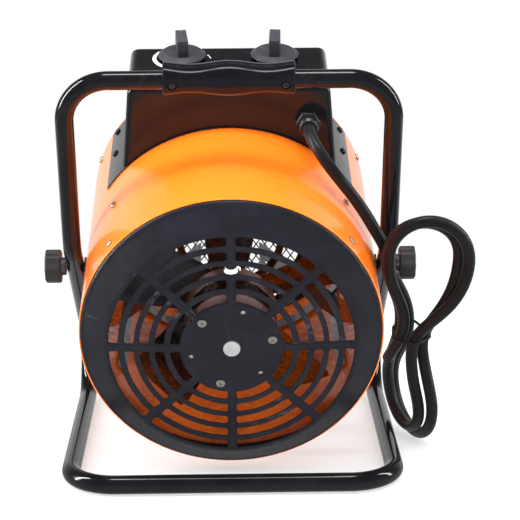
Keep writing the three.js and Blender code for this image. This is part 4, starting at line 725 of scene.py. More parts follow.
# %% Twist tie
waist_points = []
leaning = Matrix.Rotation(HANK_LEAN, 3, "X")
tie_normal = (leaning @ Vector((0, 0, 1))).normalized()
waist_middle = leaning @ Vector((0, 0, WAIST_HEIGHT + 2)) + HANK_PLACE + Vector((0, 0, lift))
for a, b in zip(cable_line, cable_line[1:]):
    before, after = (a - waist_middle).dot(tie_normal), (b - waist_middle).dot(tie_normal)
    if before * after < 0:
        waist_points.append(a.lerp(b, before / (before - after)))
tie_centre = sum(waist_points, Vector()) / len(waist_points)
across_tie = Vector((1, 0, 0)).cross(tie_normal).normalized()
along_tie = tie_normal.cross(across_tie).normalized()
flat_points = [((p - tie_centre).dot(along_tie), (p - tie_centre).dot(across_tie)) for p in waist_points]


def reach_at(angle, radius):
    """How far the tie lies from the middle in one direction: the outermost strand decides."""
    return max(u * math.cos(angle) + v * math.sin(angle) for u, v in flat_points) + radius


TIE_STEPS, TIE_TURNS, TIE_CLIMB = 144, 2, 2.4
tie_reach = CABLE_RADIUS + 1.0
tie_ring = []
for k in range(TIE_STEPS):
    angle = 2 * math.pi * TIE_TURNS * k / TIE_STEPS
    here = reach_at(angle, tie_reach)
    slope = (reach_at(angle + 0.01, tie_reach) - reach_at(angle - 0.01, tie_reach)) / 0.02
    u = here * math.cos(angle) - slope * math.sin(angle)
    v = here * math.sin(angle) + slope * math.cos(angle)
    climb = TIE_CLIMB * (k / TIE_STEPS - 0.5)
    tie_ring.append(tie_centre + along_tie * u + across_tie * v + tie_normal * climb)
tie_ring = eased(even(tie_ring, 2.5), 3)
knot_place = min(tie_ring, key=lambda p: p.y)
tails = []
for side in (-1, 1):
    tail = [knot_place + Vector((side * 0.9 * math.cos(k * 0.9), -0.6 - 0.5 * k,
                                 side * 0.9 * math.sin(k * 0.9))) for k in range(8)]
    tail += [tail[-1] + Vector((side * 1.6 * k, -0.4 * k, 1.2 * k + side * 0.8 * k)) for k in range(1, 5)]
    tails.append(tube(tail, 0.75, 8))
piece("twist_tie", merged(tube(tie_ring, 0.9, 10), *tails), stand_frame, "stand",
      cable_rubber)
print("twist tie round", len(waist_points), "strands at", tuple(round(c) for c in tie_centre))

# %% [markdown]
# ## The stand
# The stand is one tube, bent cold in eight places, with both ends pushed together inside the grip. Sweeping
# a circle along the bender's path gives the same soft, slightly wide bends. It is enamelled glossy black,
# so its look is almost only reflection: it needs smooth normals more than it needs texture.

# %% Stand tube
TUBE_RADIUS = 9.5
STAND_HALF_WIDTH = 165.0
PIVOT_HEIGHT = 192
KNEE_REACH, UPRIGHT_LENGTH, FRONT_REACH = 48.6, 193, 175
LEG_ANGLE, UPRIGHT_ANGLE = math.radians(36.6), math.radians(71.6)
leg_rise = Vector((0, -math.cos(LEG_ANGLE), math.sin(LEG_ANGLE)))
upright_rise = Vector((0, -math.cos(UPRIGHT_ANGLE), math.sin(UPRIGHT_ANGLE)))
knee = Vector((0, 0, PIVOT_HEIGHT)) + leg_rise * KNEE_REACH
top_bar = knee + upright_rise * UPRIGHT_LENGTH
rear = Vector((0, (PIVOT_HEIGHT - TUBE_RADIUS) / math.tan(LEG_ANGLE), TUBE_RADIUS))
front = Vector((0, -FRONT_REACH, TUBE_RADIUS))


def stand_corner(side, place):
    return Vector((side * STAND_HALF_WIDTH, place.y, place.z))


one_side = [stand_corner(1, place) for place in (top_bar, knee, rear, front)]
other_side = [stand_corner(-1, place) for place in (front, rear, knee, top_bar)]
bends = [45, 48, 46, 48]
stand_line = bent([top_bar + Vector((1.5, 0, 0)), *one_side, *other_side, top_bar - Vector((1.5, 0, 0))],
                  bends + bends[::-1], 3.0)
piece("stand_tube_bent", tube(stand_line, TUBE_RADIUS - 0.02, 40), stand_frame, "stand",
      frame_black, ["stand_tube"])
print("stand tube", round(length_of(stand_line)), "mm long, top bar at", tuple(round(c, 1) for c in top_bar))

# %% [markdown]
# ## The hand grip
# The grip is two moulded shells screwed together round the top bar. Seen along the bar it is a rounded
# square, a superellipse; seen from the front its upper and lower edges are waves that fit the fingers. So
# the shell is a loft: one superellipse for every place along the bar, as high as the wave there. The bore
# for the bar and the screw wells are carved out last.

# %% Grip halves
GRIP_LENGTH, GRIP_DEPTH, GRIP_ROUNDING = 131, 30, 1.6
GRIP_TOP, GRIP_BOTTOM, GRIP_WAVE, WAVE_LENGTH = 16.4, -14.2, 2, 76
GRIP_BORE, GRIP_SCREW_PLACE, SEAM_HALF = 9.9, 56, 0.15
SQUARENESS_ABOVE, SQUARENESS_BELOW = 2.9, 2.15
SECTION_STEPS = 40
grip_frame = (stand_frame @ Matrix.Translation(top_bar)
              @ Matrix.Rotation(math.radians(90) - UPRIGHT_ANGLE, 4, "X"))


def grip_wave(x):
    return GRIP_WAVE * math.cos(2 * math.pi * x / WAVE_LENGTH)


def grip_section(x, shrink, face):
    """Half a superellipse at a place along the bar, closed by the flat of the seam."""
    top, bottom = GRIP_TOP + grip_wave(x) - shrink, GRIP_BOTTOM - grip_wave(x) + shrink
    middle, high, deep = (top + bottom) / 2, (top - bottom) / 2, GRIP_DEPTH / 2 - shrink
    ring = [Vector((x, face * SEAM_HALF, top - 0.25))]
    for k in range(1, SECTION_STEPS):
        angle = math.pi * (k / SECTION_STEPS - 0.5)
        power = 2 / (SQUARENESS_ABOVE if angle < 0 else SQUARENESS_BELOW)
        out, up = math.cos(angle) ** power, math.copysign(abs(math.sin(angle)) ** power, -math.sin(angle))
        ring.append(Vector((x, face * max(0.45, deep * out), middle + high * up)))
    return ring + [Vector((x, face * SEAM_HALF, bottom + 0.25))]


def grip_half(face):
    end = GRIP_LENGTH / 2
    turn = [math.radians(a) for a in (90, 60, 30, 0)]
    ends = [(end - GRIP_ROUNDING * (1 - math.sin(a)), GRIP_ROUNDING * (1 - math.cos(a))) for a in turn]
    places = [(2 * k, 0) for k in range(-31, 32)] + ends + [(-x, shrink) for x, shrink in ends]
    shell = skin([grip_section(x, shrink, face) for x, shrink in sorted(places)])
    shell = carve(shell, tube([(-80, 0, 0), (80, 0, 0)], GRIP_BORE, 40))
    if face < 0:
        well_layers = [(-20, -0.7), (-15.0, -0.7), (-14.4, -0.15), (-13.9, 0), (-12, 0)]
        wells = [moved(stack(circle(4.3, 28), well_layers, flip_yz), Matrix.Translation((x, 0, 0)))
                 for x in (-GRIP_SCREW_PLACE, GRIP_SCREW_PLACE)]
        shell = carve(shell, merged(*wells))
    return shell


for half, face in (("front", -1), ("rear", 1)):
    shell = piece("grip_shell_" + half, grip_half(face), grip_frame, "stand", grip_black,
                  ["grip_" + half], 35)
    print(shell.name, len(shell.data.polygons), "faces")

# %% [markdown]
# ## Screws
# One pattern of pan-head screw with a cross recess serves the whole heater. It is turned on the lathe, two
# crossed tapered blades are carved out, and copies are placed where the CAD model has its screws.

# %% A pan-head screw
def pan_head(radius=3.9, height=2.4, shank=1.9, length=6.0):
    """Along +Y: the head stands above y = 0 and the shank goes below."""
    dome = [(0, height)]
    dome += [(radius * math.sin(math.radians(a)), height * (0.45 + 0.55 * math.cos(math.radians(a)) ** 0.8))
             for a in (20, 40, 58, 72, 82)]
    dome += [(radius, height * 0.42), (radius, height * 0.12), (radius - 0.15, 0)]
    thread = [(shank, 0)]
    thread += [(shank * (0.88 if k % 2 else 1.0), -0.35 * (k + 1)) for k in range(int(length / 0.35) - 1)]
    head = lathe(dome + thread + [(0, -length)], 28, whole=False)
    blades = []
    for turned_by in (0, math.pi / 2):
        blade = stack(rectangle(-1, -1, 1, 1), [(height * 0.35, 0), (height * 1.3, 0)])
        for vert in blade.verts:
            wide = 0.33 if vert.co.z < height * 0.5 else 0.48
            deep = 0.35 if vert.co.z < height * 0.5 else 0.62
            vert.co.x *= wide
            vert.co.y *= radius * deep
        blades.append(moved(blade, flip_yz @ Matrix.Rotation(turned_by, 4, "Z")))
    for blade in blades:
        head = carve(head, blade)
    bmesh.ops.recalc_face_normals(head, faces=head.faces)
    mesh = bpy.data.meshes.new("pan_head")
    head.to_mesh(mesh)
    head.free()
    return mesh


def screws(shape, places):
    """Copies of a screw, each aimed along a direction at a seat and turned by its own angle."""
    copies = []
    for k, (seat, direction) in enumerate(places):
        copy = bmesh.new()
        copy.from_mesh(shape)
        aim = aimed(Vector(direction).normalized(), "Y", "Z")
        copies.append(moved(copy, Matrix.Translation(seat) @ aim @ Matrix.Rotation(0.9 + 1.7 * k, 4, "Y")))
    return merged(*copies)


def wall_screws(angles, along, radius):
    return [(around(angle, radius, along), around(angle, 1)) for angle in angles]


pan = pan_head()
grip_pan = pan_head(3.6, 1.9, 1.9, 18)
grip_seats = [((x, -12.3, 0), (0, -1, 0)) for x in (-GRIP_SCREW_PLACE, GRIP_SCREW_PLACE)]
piece("grip_screws", screws(grip_pan, grip_seats), grip_frame, "stand", dark_steel,
      ["grip_screw_1", "grip_screw_2"])
print("one screw has", len(pan.polygons), "faces")

# %% [markdown]
# ## The drum
# The drum is a sheet 1.2 mm thick, rolled and open at both ends. On the lathe it is only a thin rectangle, so
# the work goes into the edges: both rims are rounded, and the holes for the pivot nuts and for the wires into
# the box are carved through the wall. 192 steps keep the reflections on the paint free of facets.

# %% Drum shell
DRUM_RADIUS, DRUM_INNER = 152.5, 151.3
INLET, OUTLET = -145, 159
DRUM_STEPS = 192


def wire_opening():
    """The cutter for the opening through which the wires reach the box."""
    return stack(rectangle(-50, 26, 50, 110, 6), [(120, 0), (170, 0)])


drum_shell = lathe(rectangle(DRUM_INNER, INLET, DRUM_RADIUS, OUTLET, 0.55), DRUM_STEPS)
pivot_holes = merged(*[tube([(side * 120, 0, 0), (side * 170, 0, 0)], 4.8, 32) for side in (1, -1)])
drum_shell = carve(carve(drum_shell, pivot_holes), wire_opening())
piece("drum_shell_painted", drum_shell, drum_frame, "drum", orange_paint, ["drum_shell"], 40)
print("drum shell", DRUM_RADIUS * 2, "mm across and", OUTLET - INLET, "mm long")

# %% [markdown]
# ## The inlet grille
# The grille is one moulding: a collar inside the drum, a rounded shoulder, a shallow cone and a hub disc.
# First the body is turned. Then eight sectors are sunk by 0.8 mm, which leaves the eight spokes standing
# proud. Last the 40 slots go through. Each cutter flares at both faces, so every slot gets a rounded rim,
# and it is bent to follow the cone, so the rim is as wide at the hub as it is outside.

# %% Grille body
GRILLE_COLLAR = 151.0
HUB_RADIUS, HUB_FACE = 51, -171
SLOT_RIM, SLOT_RIM_FACE = 124.4, -167
SLOT_INNER = (51.5, 67, 82, 97, 112.5)
SLOT_WIDTH, SPOKE_WIDTH, SPOKES = 9.4, 9, 8


def cone_face(radius):
    """Where the front of the grille lies at a radius."""
    share = min(max((radius - HUB_RADIUS) / (SLOT_RIM - HUB_RADIUS), 0), 1)
    return HUB_FACE + (SLOT_RIM_FACE - HUB_FACE) * share


grille_corners = [(GRILLE_COLLAR, -120), (GRILLE_COLLAR, -146.5), (149.5, -148.3), (146.5, -149.8),
                  (SLOT_RIM, SLOT_RIM_FACE), (HUB_RADIUS, HUB_FACE), (8.95, HUB_FACE), (8.95, -168.5),
                  (HUB_RADIUS, -168.5), (123.15, -164.5), (145.25, -147), (148.5, -145.2), (148.5, -120)]
grille_radii = [0.6, 2.6, 2.6, 6, 14, 5, 0.5, 0.4, 5, 14, 4, 2, 0.6]
grille = lathe(soften(grille_corners, grille_radii, 5), DRUM_STEPS)
print("grille body with", len(grille.faces), "faces")


def arc_outline(inner, outer, start, end, radius, steps=10):
    """A slot outline between two radii and two angles, with rounded corners, in X and Z."""
    def arc(r, first, last):
        return [Vector((around(first + (last - first) * k / steps, r).x,
                        around(first + (last - first) * k / steps, r).z)) for k in range(steps + 1)]
    points = arc(inner, start, end) + arc(outer, end, start)
    radii = [0] * len(points)
    for k in (0, steps, steps + 1, 2 * steps + 1):
        radii[k] = radius
    rounded = soften(points, radii, 4)
    area = sum(a.x * b.y - b.x * a.y for a, b in zip(rounded, rounded[1:] + rounded[:1]))
    return rounded if area > 0 else rounded[::-1]


def follow_cone(bm):
    for vert in bm.verts:
        vert.co.y += cone_face(math.hypot(vert.co.x, vert.co.z))
    return bm


def flared(depth, rim):
    """Layers of a cutter whose rims open out by a quarter circle at both faces."""
    turn = [math.radians(a) for a in (0, 30, 60, 90)]
    front_rim = [(rim * (1 - math.cos(a)), -rim * (1 - math.sin(a))) for a in turn]
    back_rim = [(depth - h, inset) for h, inset in reversed(front_rim)]
    return [(-3, -rim)] + front_rim + back_rim + [(depth + 14, -rim)]


SINK_INNER, SINK_OUTER, SINK_MIDDLE, SPOKE_BEVEL = 50.2, 123.3, 87, 1.1
sector = 360 / SPOKES
spoke_half = SPOKE_WIDTH / 2 - SPOKE_BEVEL
edge = math.degrees(math.asin(spoke_half / SINK_MIDDLE))
sunk = []
for k in range(SPOKES):
    outline = arc_outline(SINK_INNER, SINK_OUTER, k * sector + edge, (k + 1) * sector - edge, 3, 12)
    middle = (k + 0.5) * sector
    for i, p in enumerate(outline):
        radius, angle = p.length, math.degrees(math.atan2(p.x, p.y))
        turn_from = ((angle - middle + 180) % 360) - 180
        limit = sector / 2 - math.degrees(math.asin(spoke_half / radius))
        if abs(turn_from) > limit - 3:
            share = limit / (sector / 2 - edge)
            new_angle = math.radians(middle + turn_from * share)
            outline[i] = Vector((radius * math.sin(new_angle), radius * math.cos(new_angle)))
    sunk.append(follow_cone(stack(outline, [(-3, -0.5), (0, -0.5), (0.25, -0.2), (0.8, 0.15)], flip_yz)))
grille = carve(grille, merged(*sunk))
print("sunk sectors carved,", len(grille.faces), "faces")

# %% Grille slots and holes
slots = []
for inner in SLOT_INNER:
    middle = inner + SLOT_WIDTH / 2
    half_spoke = math.degrees(math.asin(SPOKE_WIDTH / 2 / middle))
    for k in range(SPOKES):
        outline = arc_outline(inner, inner + SLOT_WIDTH, k * sector + half_spoke,
                              (k + 1) * sector - half_spoke, 2.8)
        layers = [(height + 0.75, inset) for height, inset in flared(1.8, 0.55)]
        slots.append(follow_cone(stack(outline, layers, flip_yz)))
grille = carve(grille, merged(*slots))
print("slots carved,", len(grille.faces), "faces")

# %% Holes in the hub and the screws of the drum
MOTOR_SCREW_ANGLES = (76, 196, 316)
MOTOR_SCREW_CIRCLE = 41.5
hub_holes = []
for k in range(6):
    spot = around(MOTOR_SCREW_ANGLES[0] + 60 * k, MOTOR_SCREW_CIRCLE, HUB_FACE)
    radius = 2.9 if k % 2 == 0 else 2.5
    cutter = stack(circle(radius, 24), [(-3, -0.5), (0, -0.5), (0.15, -0.2), (0.5, 0), (9, 0)], flip_yz)
    hub_holes.append(moved(cutter, Matrix.Translation(spot)))
grille = carve(grille, merged(*hub_holes))
GRILLE_SCREW_ANGLES = (51, 129, 231, 309)
piece("inlet_grille", grille, drum_frame, "drum", grille_black, ["rear_grille"], 32)

FRAME_SCREW_PLACE, GRILLE_SCREW_PLACE = -45, -128
piece("grille_screws", screws(pan, wall_screws(GRILLE_SCREW_ANGLES, GRILLE_SCREW_PLACE, DRUM_RADIUS + 0.1)),
      drum_frame, "drum", zinc, ["grille_screw_%d" % k for k in (1, 2, 3, 4)])
piece("frame_screws", screws(pan, wall_screws(GRILLE_SCREW_ANGLES, FRAME_SCREW_PLACE, DRUM_RADIUS + 0.1)),
      drum_frame, "drum", zinc, ["frame_screw_%d" % k for k in (1, 2, 3, 4)])
motor_pan = pan_head(4.6, 2.3, 2.4, 11)
motor_seats = [(around(angle, MOTOR_SCREW_CIRCLE, HUB_FACE - 0.1), (0, -1, 0))
               for angle in MOTOR_SCREW_ANGLES]
piece("motor_screws", screws(motor_pan, motor_seats), drum_frame, "drum", zinc,
      ["motor_screw_%d" % k for k in (1, 2, 3)])
print("grille in place with", len(GRILLE_SCREW_ANGLES), "screws, the hub with", len(motor_seats))

# %% [markdown]
# ## Outlet ring and expanded mesh
# Expanded metal is slit and pulled, not woven. Its strands are flat ribbons that stand a little on edge and
# meet in wider knuckles. Each strand here is a small tilted bar between two knuckles of a diamond lattice.

# %% Outlet
ring_profile = soften([(149, 143), (151, 143), (151, 159), (140, 159), (140, 157), (149, 157)],
                      [0.6, 0.6, 1.6, 0.8, 0.8, 0.6], 4)
piece("outlet_ring_turned", lathe(ring_profile, 160), drum_frame, "drum", mesh_black,
      ["outlet_ring"], 35)

DIAMOND_WIDE, DIAMOND_HIGH, MESH_RADIUS = 10, 15, 148.3
MESH_PLACE, STRAND_WIDE, STRAND_THICK = 155.95, 1.3, 1.1
BAR_SECTION = ((-1, -0.55), (-0.6, -1), (0.6, -1), (1, -0.55), (1, 0.55), (0.6, 1), (-0.6, 1), (-1, 0.55))


def bar(start, end, wide, thick, tilt):
    """A bar between two points of the mesh plane, tilted about its own length."""
    along = (end - start).normalized()
    flat = Vector((-along.z, 0, along.x))
    side = Matrix.Rotation(tilt, 3, along) @ flat
    deep = along.cross(side)
    return [[p + (side * (wide / 2 * grow * u) + deep * (thick / 2 * v)) for u, v in BAR_SECTION]
            for p, grow in ((start, 1.25), (start.lerp(end, 0.5), 1.0), (end, 1.25))]


mesh_strands = bmesh.new()
strand_count = 0
rows = int(MESH_RADIUS / DIAMOND_HIGH) + 2
columns = int(MESH_RADIUS / DIAMOND_WIDE) + 2
for row in range(-2 * rows, 2 * rows):
    for column in range(-columns, columns + 1):
        x = (column + (0.5 if row % 2 else 0)) * DIAMOND_WIDE
        z = row * DIAMOND_HIGH / 2
        for side in (-1, 1):
            start = Vector((x, MESH_PLACE, z))
            end = Vector((x + side * DIAMOND_WIDE / 2, MESH_PLACE, z + DIAMOND_HIGH / 2))
            inside = [math.hypot(p.x, p.z) < MESH_RADIUS for p in (start, end)]
            if not any(inside):
                continue
            if not all(inside):
                near, far = (start, end) if inside[0] else (end, start)
                low, high = 0.0, 1.0
                for _ in range(12):
                    mid = (low + high) / 2
                    p = near.lerp(far, mid)
                    low, high = (mid, high) if math.hypot(p.x, p.z) < MESH_RADIUS else (low, mid)
                start, end = near, near.lerp(far, low)
                if (end - start).length < 0.8:
                    continue
            rings = bar(start, end, STRAND_WIDE, STRAND_THICK, math.radians(28 * side))
            made = [[mesh_strands.verts.new(c) for c in ring] for ring in rings]
            for low_ring, high_ring in zip(made, made[1:]):
                for k in range(8):
                    mesh_strands.faces.new((low_ring[k], low_ring[(k + 1) % 8], high_ring[(k + 1) % 8],
                                            high_ring[k]))
            mesh_strands.faces.new(reversed(made[0]))
            mesh_strands.faces.new(made[-1])
            strand_count += 1
piece("outlet_mesh_expanded", mesh_strands, drum_frame, "drum", mesh_black, ["outlet_mesh"], 40)
print("outlet mesh with", strand_count, "strands")

# %% [markdown]
# ## Motor, windings and fan
# Only glimpses of these show through the slots, but the glimpses matter: bright cast aluminium, copper and
# the cold reflections on the fan blades make the depth of the picture. The covers are turned castings, the
# windings are two bundles of wire, and a blade is a twisted, cambered plate that is as thin at its rim as
# sheet metal.

# %% Motor covers
MOTOR_REAR = -168.2
STATOR_FRONT, STATOR_BACK = -141.9, -111.9
MOTOR_FRONT_FACE = -85.6
rear_corners = [(0, -172.5), (8.6, -172.5), (8.6, MOTOR_REAR), (43, MOTOR_REAR), (46, MOTOR_REAR + 3),
                (46, MOTOR_REAR + 26), (43, MOTOR_REAR + 26), (43, MOTOR_REAR + 6), (16.5, MOTOR_REAR + 6),
                (16.5, MOTOR_REAR + 11.3), (13.5, MOTOR_REAR + 11.3), (13.5, MOTOR_REAR + 3),
                (0, MOTOR_REAR + 3)]
rear_radii = [0, 0.8, 0.8, 3, 2, 0.8, 0.5, 1.5, 1, 0.5, 0.3, 0.3, 0]
motor_rear = lathe(soften(rear_corners, rear_radii, closed=False), 72, whole=False)


def motor_bore(angle):
    return tube([around(angle, MOTOR_SCREW_CIRCLE, along) for along in (-175, -150)], 2.55, 20)


motor_rear = carve(motor_rear, merged(*[motor_bore(angle) for angle in MOTOR_SCREW_ANGLES]))
bosses = []
for angle in MOTOR_SCREW_ANGLES:
    boss = stack(circle(4.6, 24), round_layers(MOTOR_REAR + 3, MOTOR_REAR + 13, 0.6), flip_yz)
    bosses.append(carve(moved(boss, Matrix.Translation(around(angle, 38.2, 0))), motor_bore(angle)))
vents = []
for k in range(12):
    if k % 4:
        vent = arc_outline(28, 36, 30 * k - 8 + 16, 30 * k + 8 + 16, 2, 4)
        vents.append(stack(vent, [(-170, 0), (-160, 0)], flip_yz))
motor_rear = carve(motor_rear, merged(*vents))
piece("motor_cover_rear", merged(motor_rear, *bosses), drum_frame, "drum", motor_alloy,
      ["motor_rear_cover"], 35)

front_corners = [(5.5, MOTOR_FRONT_FACE), (43, MOTOR_FRONT_FACE), (46, MOTOR_FRONT_FACE - 3),
                 (46, MOTOR_FRONT_FACE - 26), (43, MOTOR_FRONT_FACE - 26), (43, MOTOR_FRONT_FACE - 6),
                 (16.5, MOTOR_FRONT_FACE - 6), (16.5, MOTOR_FRONT_FACE - 11.3),
                 (13.5, MOTOR_FRONT_FACE - 11.3), (13.5, MOTOR_FRONT_FACE - 3), (5.5, MOTOR_FRONT_FACE - 3)]
motor_front = lathe(soften(front_corners, [0.3, 3, 2, 0.8, 0.5, 1.5, 1, 0.5, 0.3, 0.3, 0.3]), 72)
piece("motor_cover_front", motor_front, drum_frame, "drum", motor_alloy,
      ["motor_front_cover"], 35)
print("motor covers from", MOTOR_REAR, "to", MOTOR_FRONT_FACE)

# %% Windings
COIL_CIRCLE, END_TURN, END_TURN_HALF = 33, 5.8, 5.5
end_turns = (STATOR_FRONT - END_TURN, STATOR_BACK + END_TURN)


def bundle(middle, half_length):
    """An end turn of the windings: a ring of wire with a lobe over every coil."""
    rings = []
    for k in range(144):
        angle = 360 * k / 144
        lobe = 0.5 + 0.5 * math.cos(math.radians(6 * angle))
        ring = []
        for j in range(20):
            turn = 2 * math.pi * j / 20
            radius = COIL_CIRCLE + (3.4 + 1.0 * lobe) * math.cos(turn)
            ring.append(around(angle, radius, middle + (half_length - 1.4 + 1.3 * lobe) * math.sin(turn)))
        rings.append(ring)
    return skin(rings, closed_path=True)


lacing = []
for k in range(36):
    angle = 10 * k + 5
    for middle in end_turns:
        loop = [around(angle, COIL_CIRCLE + 4.5 * math.cos(t), middle + 5.45 * math.sin(t))
                for t in [2 * math.pi * j / 18 for j in range(18)]]
        lacing.append(tube(loop, 0.35, 6, closed=True))
coil_bars = [stack(arc_outline(30.6, 35.4, 60 * k - 10.8, 60 * k + 10.8, 1.2, 4),
                   [(STATOR_FRONT - 5, 0), (STATOR_BACK + 5, 0)], flip_yz) for k in range(6)]
piece("stator_windings_wound", merged(*[bundle(middle, END_TURN_HALF) for middle in end_turns], *coil_bars),
      drum_frame, "drum", copper, ["stator_windings"], 50)
piece("winding_lacing", merged(*lacing), drum_frame, "drum", white_nylon)
print("windings with", len(coil_bars), "coils")

# %% Fan wheel
FAN_PLACE, HUB, TIP, BLADES = -66.6, 28, 137, 5
BLADE_THICKNESS, CHORD, PITCH, TWIST = 2.0, 74, 24, 14
BLADE_STEPS = 14


def blade_point(out, across, face):
    """A point of a blade: out from root to tip, across the chord from -0.5 to 0.5, face -1 or 1."""
    radius = blend_of(HUB - 2, TIP, out)
    pitch = math.radians(blend_of(PITCH + TWIST, PITCH, out))
    chord = blend_of(CHORD / 2, CHORD, math.sqrt(out))
    chord *= 1 - 0.1 * max(0, (out - 0.9) / 0.1) ** 2
    camber = BLADE_THICKNESS * 2 * (1 - 4 * across * across)
    edge = math.sqrt(max(0.0, 1 - (2 * abs(across)) ** 8)) * 0.82 + 0.12
    along = across * chord * math.sin(pitch) + camber + face * edge * BLADE_THICKNESS / 2
    angle = across * chord * math.cos(pitch) / max(radius, HUB)
    return Vector((radius * math.sin(angle), along, radius * math.cos(angle)))


def blade():
    """A blade as rings of points, one behind the other from root to tip."""
    steps = range(BLADE_STEPS + 1)
    rings = []
    for r in steps:
        ring = [blade_point(r / BLADE_STEPS, c / BLADE_STEPS - 0.5, -1) for c in steps]
        ring += [blade_point(r / BLADE_STEPS, c / BLADE_STEPS - 0.5, 1) for c in reversed(steps)]
        rings.append(ring)
    return skin(rings)


hub_corners = [(5.4, -13), (11, -13), (11, -10), (24, -10), (26, -13), (HUB, -13), (HUB, 13), (25.5, 13),
               (24, 9), (12, 9), (10, 13), (5.4, 13)]
fan_place = Matrix.Translation((0, FAN_PLACE, 0))
hub = lathe(soften(hub_corners, [0.5, 1, 1, 2, 0.8, 1, 1.5, 1, 2, 2, 1, 0.5]), 72)
wheel = [moved(hub, fan_place)]
wheel += [moved(blade(), fan_place @ Matrix.Rotation(2 * math.pi * k / BLADES, 4, "Y"))
          for k in range(BLADES)]
for k in range(BLADES):
    for step in (-9, 9):
        angle = 360 * k / BLADES + step
        rivet_place = Matrix.Translation(around(angle, HUB - 0.3, FAN_PLACE + step * 0.6))
        rivet = stack(circle(2.6, 16), round_layers(0, 1.6, 0.8))
        wheel.append(moved(rivet, rivet_place @ aimed(around(angle, 1))))
piece("fan_wheel_bladed", merged(*wheel), drum_frame, "fan", fan_steel, ["fan_wheel"], 38)
print("fan with", BLADES, "blades, tips at", TIP)

# %% [markdown]
# ## Heating elements
# Each element is a sheathed rod bent to a ring, whose two ends rise into the box. The legs end in a bead
# and a pin. The rings lie one behind the other, so each leg stands in its own hole of the plate.

# %% Heating elements
ELEMENTS = (("inner", 56, 9, 60), ("middle", 84, 24, 72), ("outer", 112, 39, 84))
ELEMENT_RADIUS, ELEMENT_TOP, ELEMENT_BEND = 4.25, 160, 8.0
ARC_STEPS, JOIN_STEP = 180, 12
for name, radius, leg, place in ELEMENTS:
    opening = math.degrees(math.asin(leg / radius))
    arc = [around(opening + (360 - 2 * opening) * k / ARC_STEPS, radius, place) for k in range(ARC_STEPS + 1)]
    line = bent([Vector((leg, place, ELEMENT_TOP)), arc[0], arc[JOIN_STEP]], [ELEMENT_BEND], 6)[:-1]
    last = bent([Vector((-leg, place, ELEMENT_TOP)), arc[-1], arc[-1 - JOIN_STEP]], [ELEMENT_BEND], 6)[:-1]
    line = eased(even(line + arc[JOIN_STEP + 1:-1 - JOIN_STEP] + last[::-1], 3.0), 4)
    body = tube(line, ELEMENT_RADIUS - 0.05, 20)
    ends = []
    for side in (-1, 1):
        foot = Vector((side * leg, place, 0))
        ends.append(moved(stack(circle(3.4, 20), round_layers(159.5, 162.5, 0.8)), Matrix.Translation(foot)))
        ends.append(moved(stack(circle(1.9, 16), round_layers(159, 168.9, 0.4)), Matrix.Translation(foot)))
    piece("element_ring_" + name, merged(body, *ends), drum_frame, "drum", element_steel,
          ["heating_element_" + name], 40)
print(len(ELEMENTS), "heating elements")

# %% [markdown]
# ## The control box
# The saddle is bent sheet that hugs the drum. The cover is a moulded shell with rounded edges whose foot
# follows the drum, which one carving with a cylinder gives exactly. The wall is hollowed out with a smaller
# copy.

# %% Saddle and cover
def arc_sheet(inner, outer, half_angle, start, end, edge):
    """A bent sheet round the drum with softened long edges."""
    steps = 60
    section = rectangle(inner, start, outer, end, edge, 2)
    return skin([[around(half_angle * (2 * k / steps - 1), p.x, p.y) for p in section]
                 for k in range(steps + 1)])


TAB_PLACE, TAB_HALF = 75, 7
saddle = carve(arc_sheet(152.8, 154.0, 57, 15, 150, 0.4), wire_opening())
tabs = []
for middle in (-TAB_PLACE, TAB_PLACE):
    tab = stack(rectangle(middle - TAB_HALF, 128, middle + TAB_HALF, 175, [0, 0, 3, 3]),
                [(122.0, 0), (123.5, 0)], flip_yz)
    tabs.append(carve(tab, tube([(0, 10, 0), (0, 140, 0)], 152.9, 160)))
piece("box_saddle_sheet", merged(saddle, *tabs), drum_frame, "drum", frame_black,
      ["box_saddle"], 35)
saddle_seats = wall_screws((53, -53), 83, 154.1) + wall_screws((53, -53), 138, 154.1)
black_zinc = Finish("black_zinc", (0.05, 0.05, 0.055), 0.25, 0.9).tint(200, 0.3)
black_zinc.gloss(400, 0.2, 0.36).grain(1400, 0.0002, 0.15).edge_wear_and_highlight((0.3, 0.3, 0.3), 0.6)
piece("saddle_screws", screws(pan, saddle_seats), drum_frame, "drum", black_zinc,
      ["saddle_screw_%d" % k for k in (1, 2, 3, 4)])

# %% Cover of the box
BOX_FRONT, BOX_BACK, BOX_TOP, BOX_LOW = 17, 126, 198, 90
BOX_WALL, KNOB_PLACE, KNOB_ALONG = 2.2, 49, 95
BOX_TOP_HALF, BOX_FOOT_HALF = 104, 112.5
slope = (BOX_FOOT_HALF - BOX_TOP_HALF) / (BOX_TOP - 100)


def box_outline(inset):
    top = BOX_TOP - inset
    low_half = BOX_TOP_HALF + slope * (BOX_TOP - BOX_LOW) - inset
    top_half = BOX_TOP_HALF + slope * inset - inset
    corners = [(-low_half, BOX_LOW), (low_half, BOX_LOW), (top_half, top), (-top_half, top)]
    return soften(corners, [0, 0, 10 - inset, 10 - inset], 8)


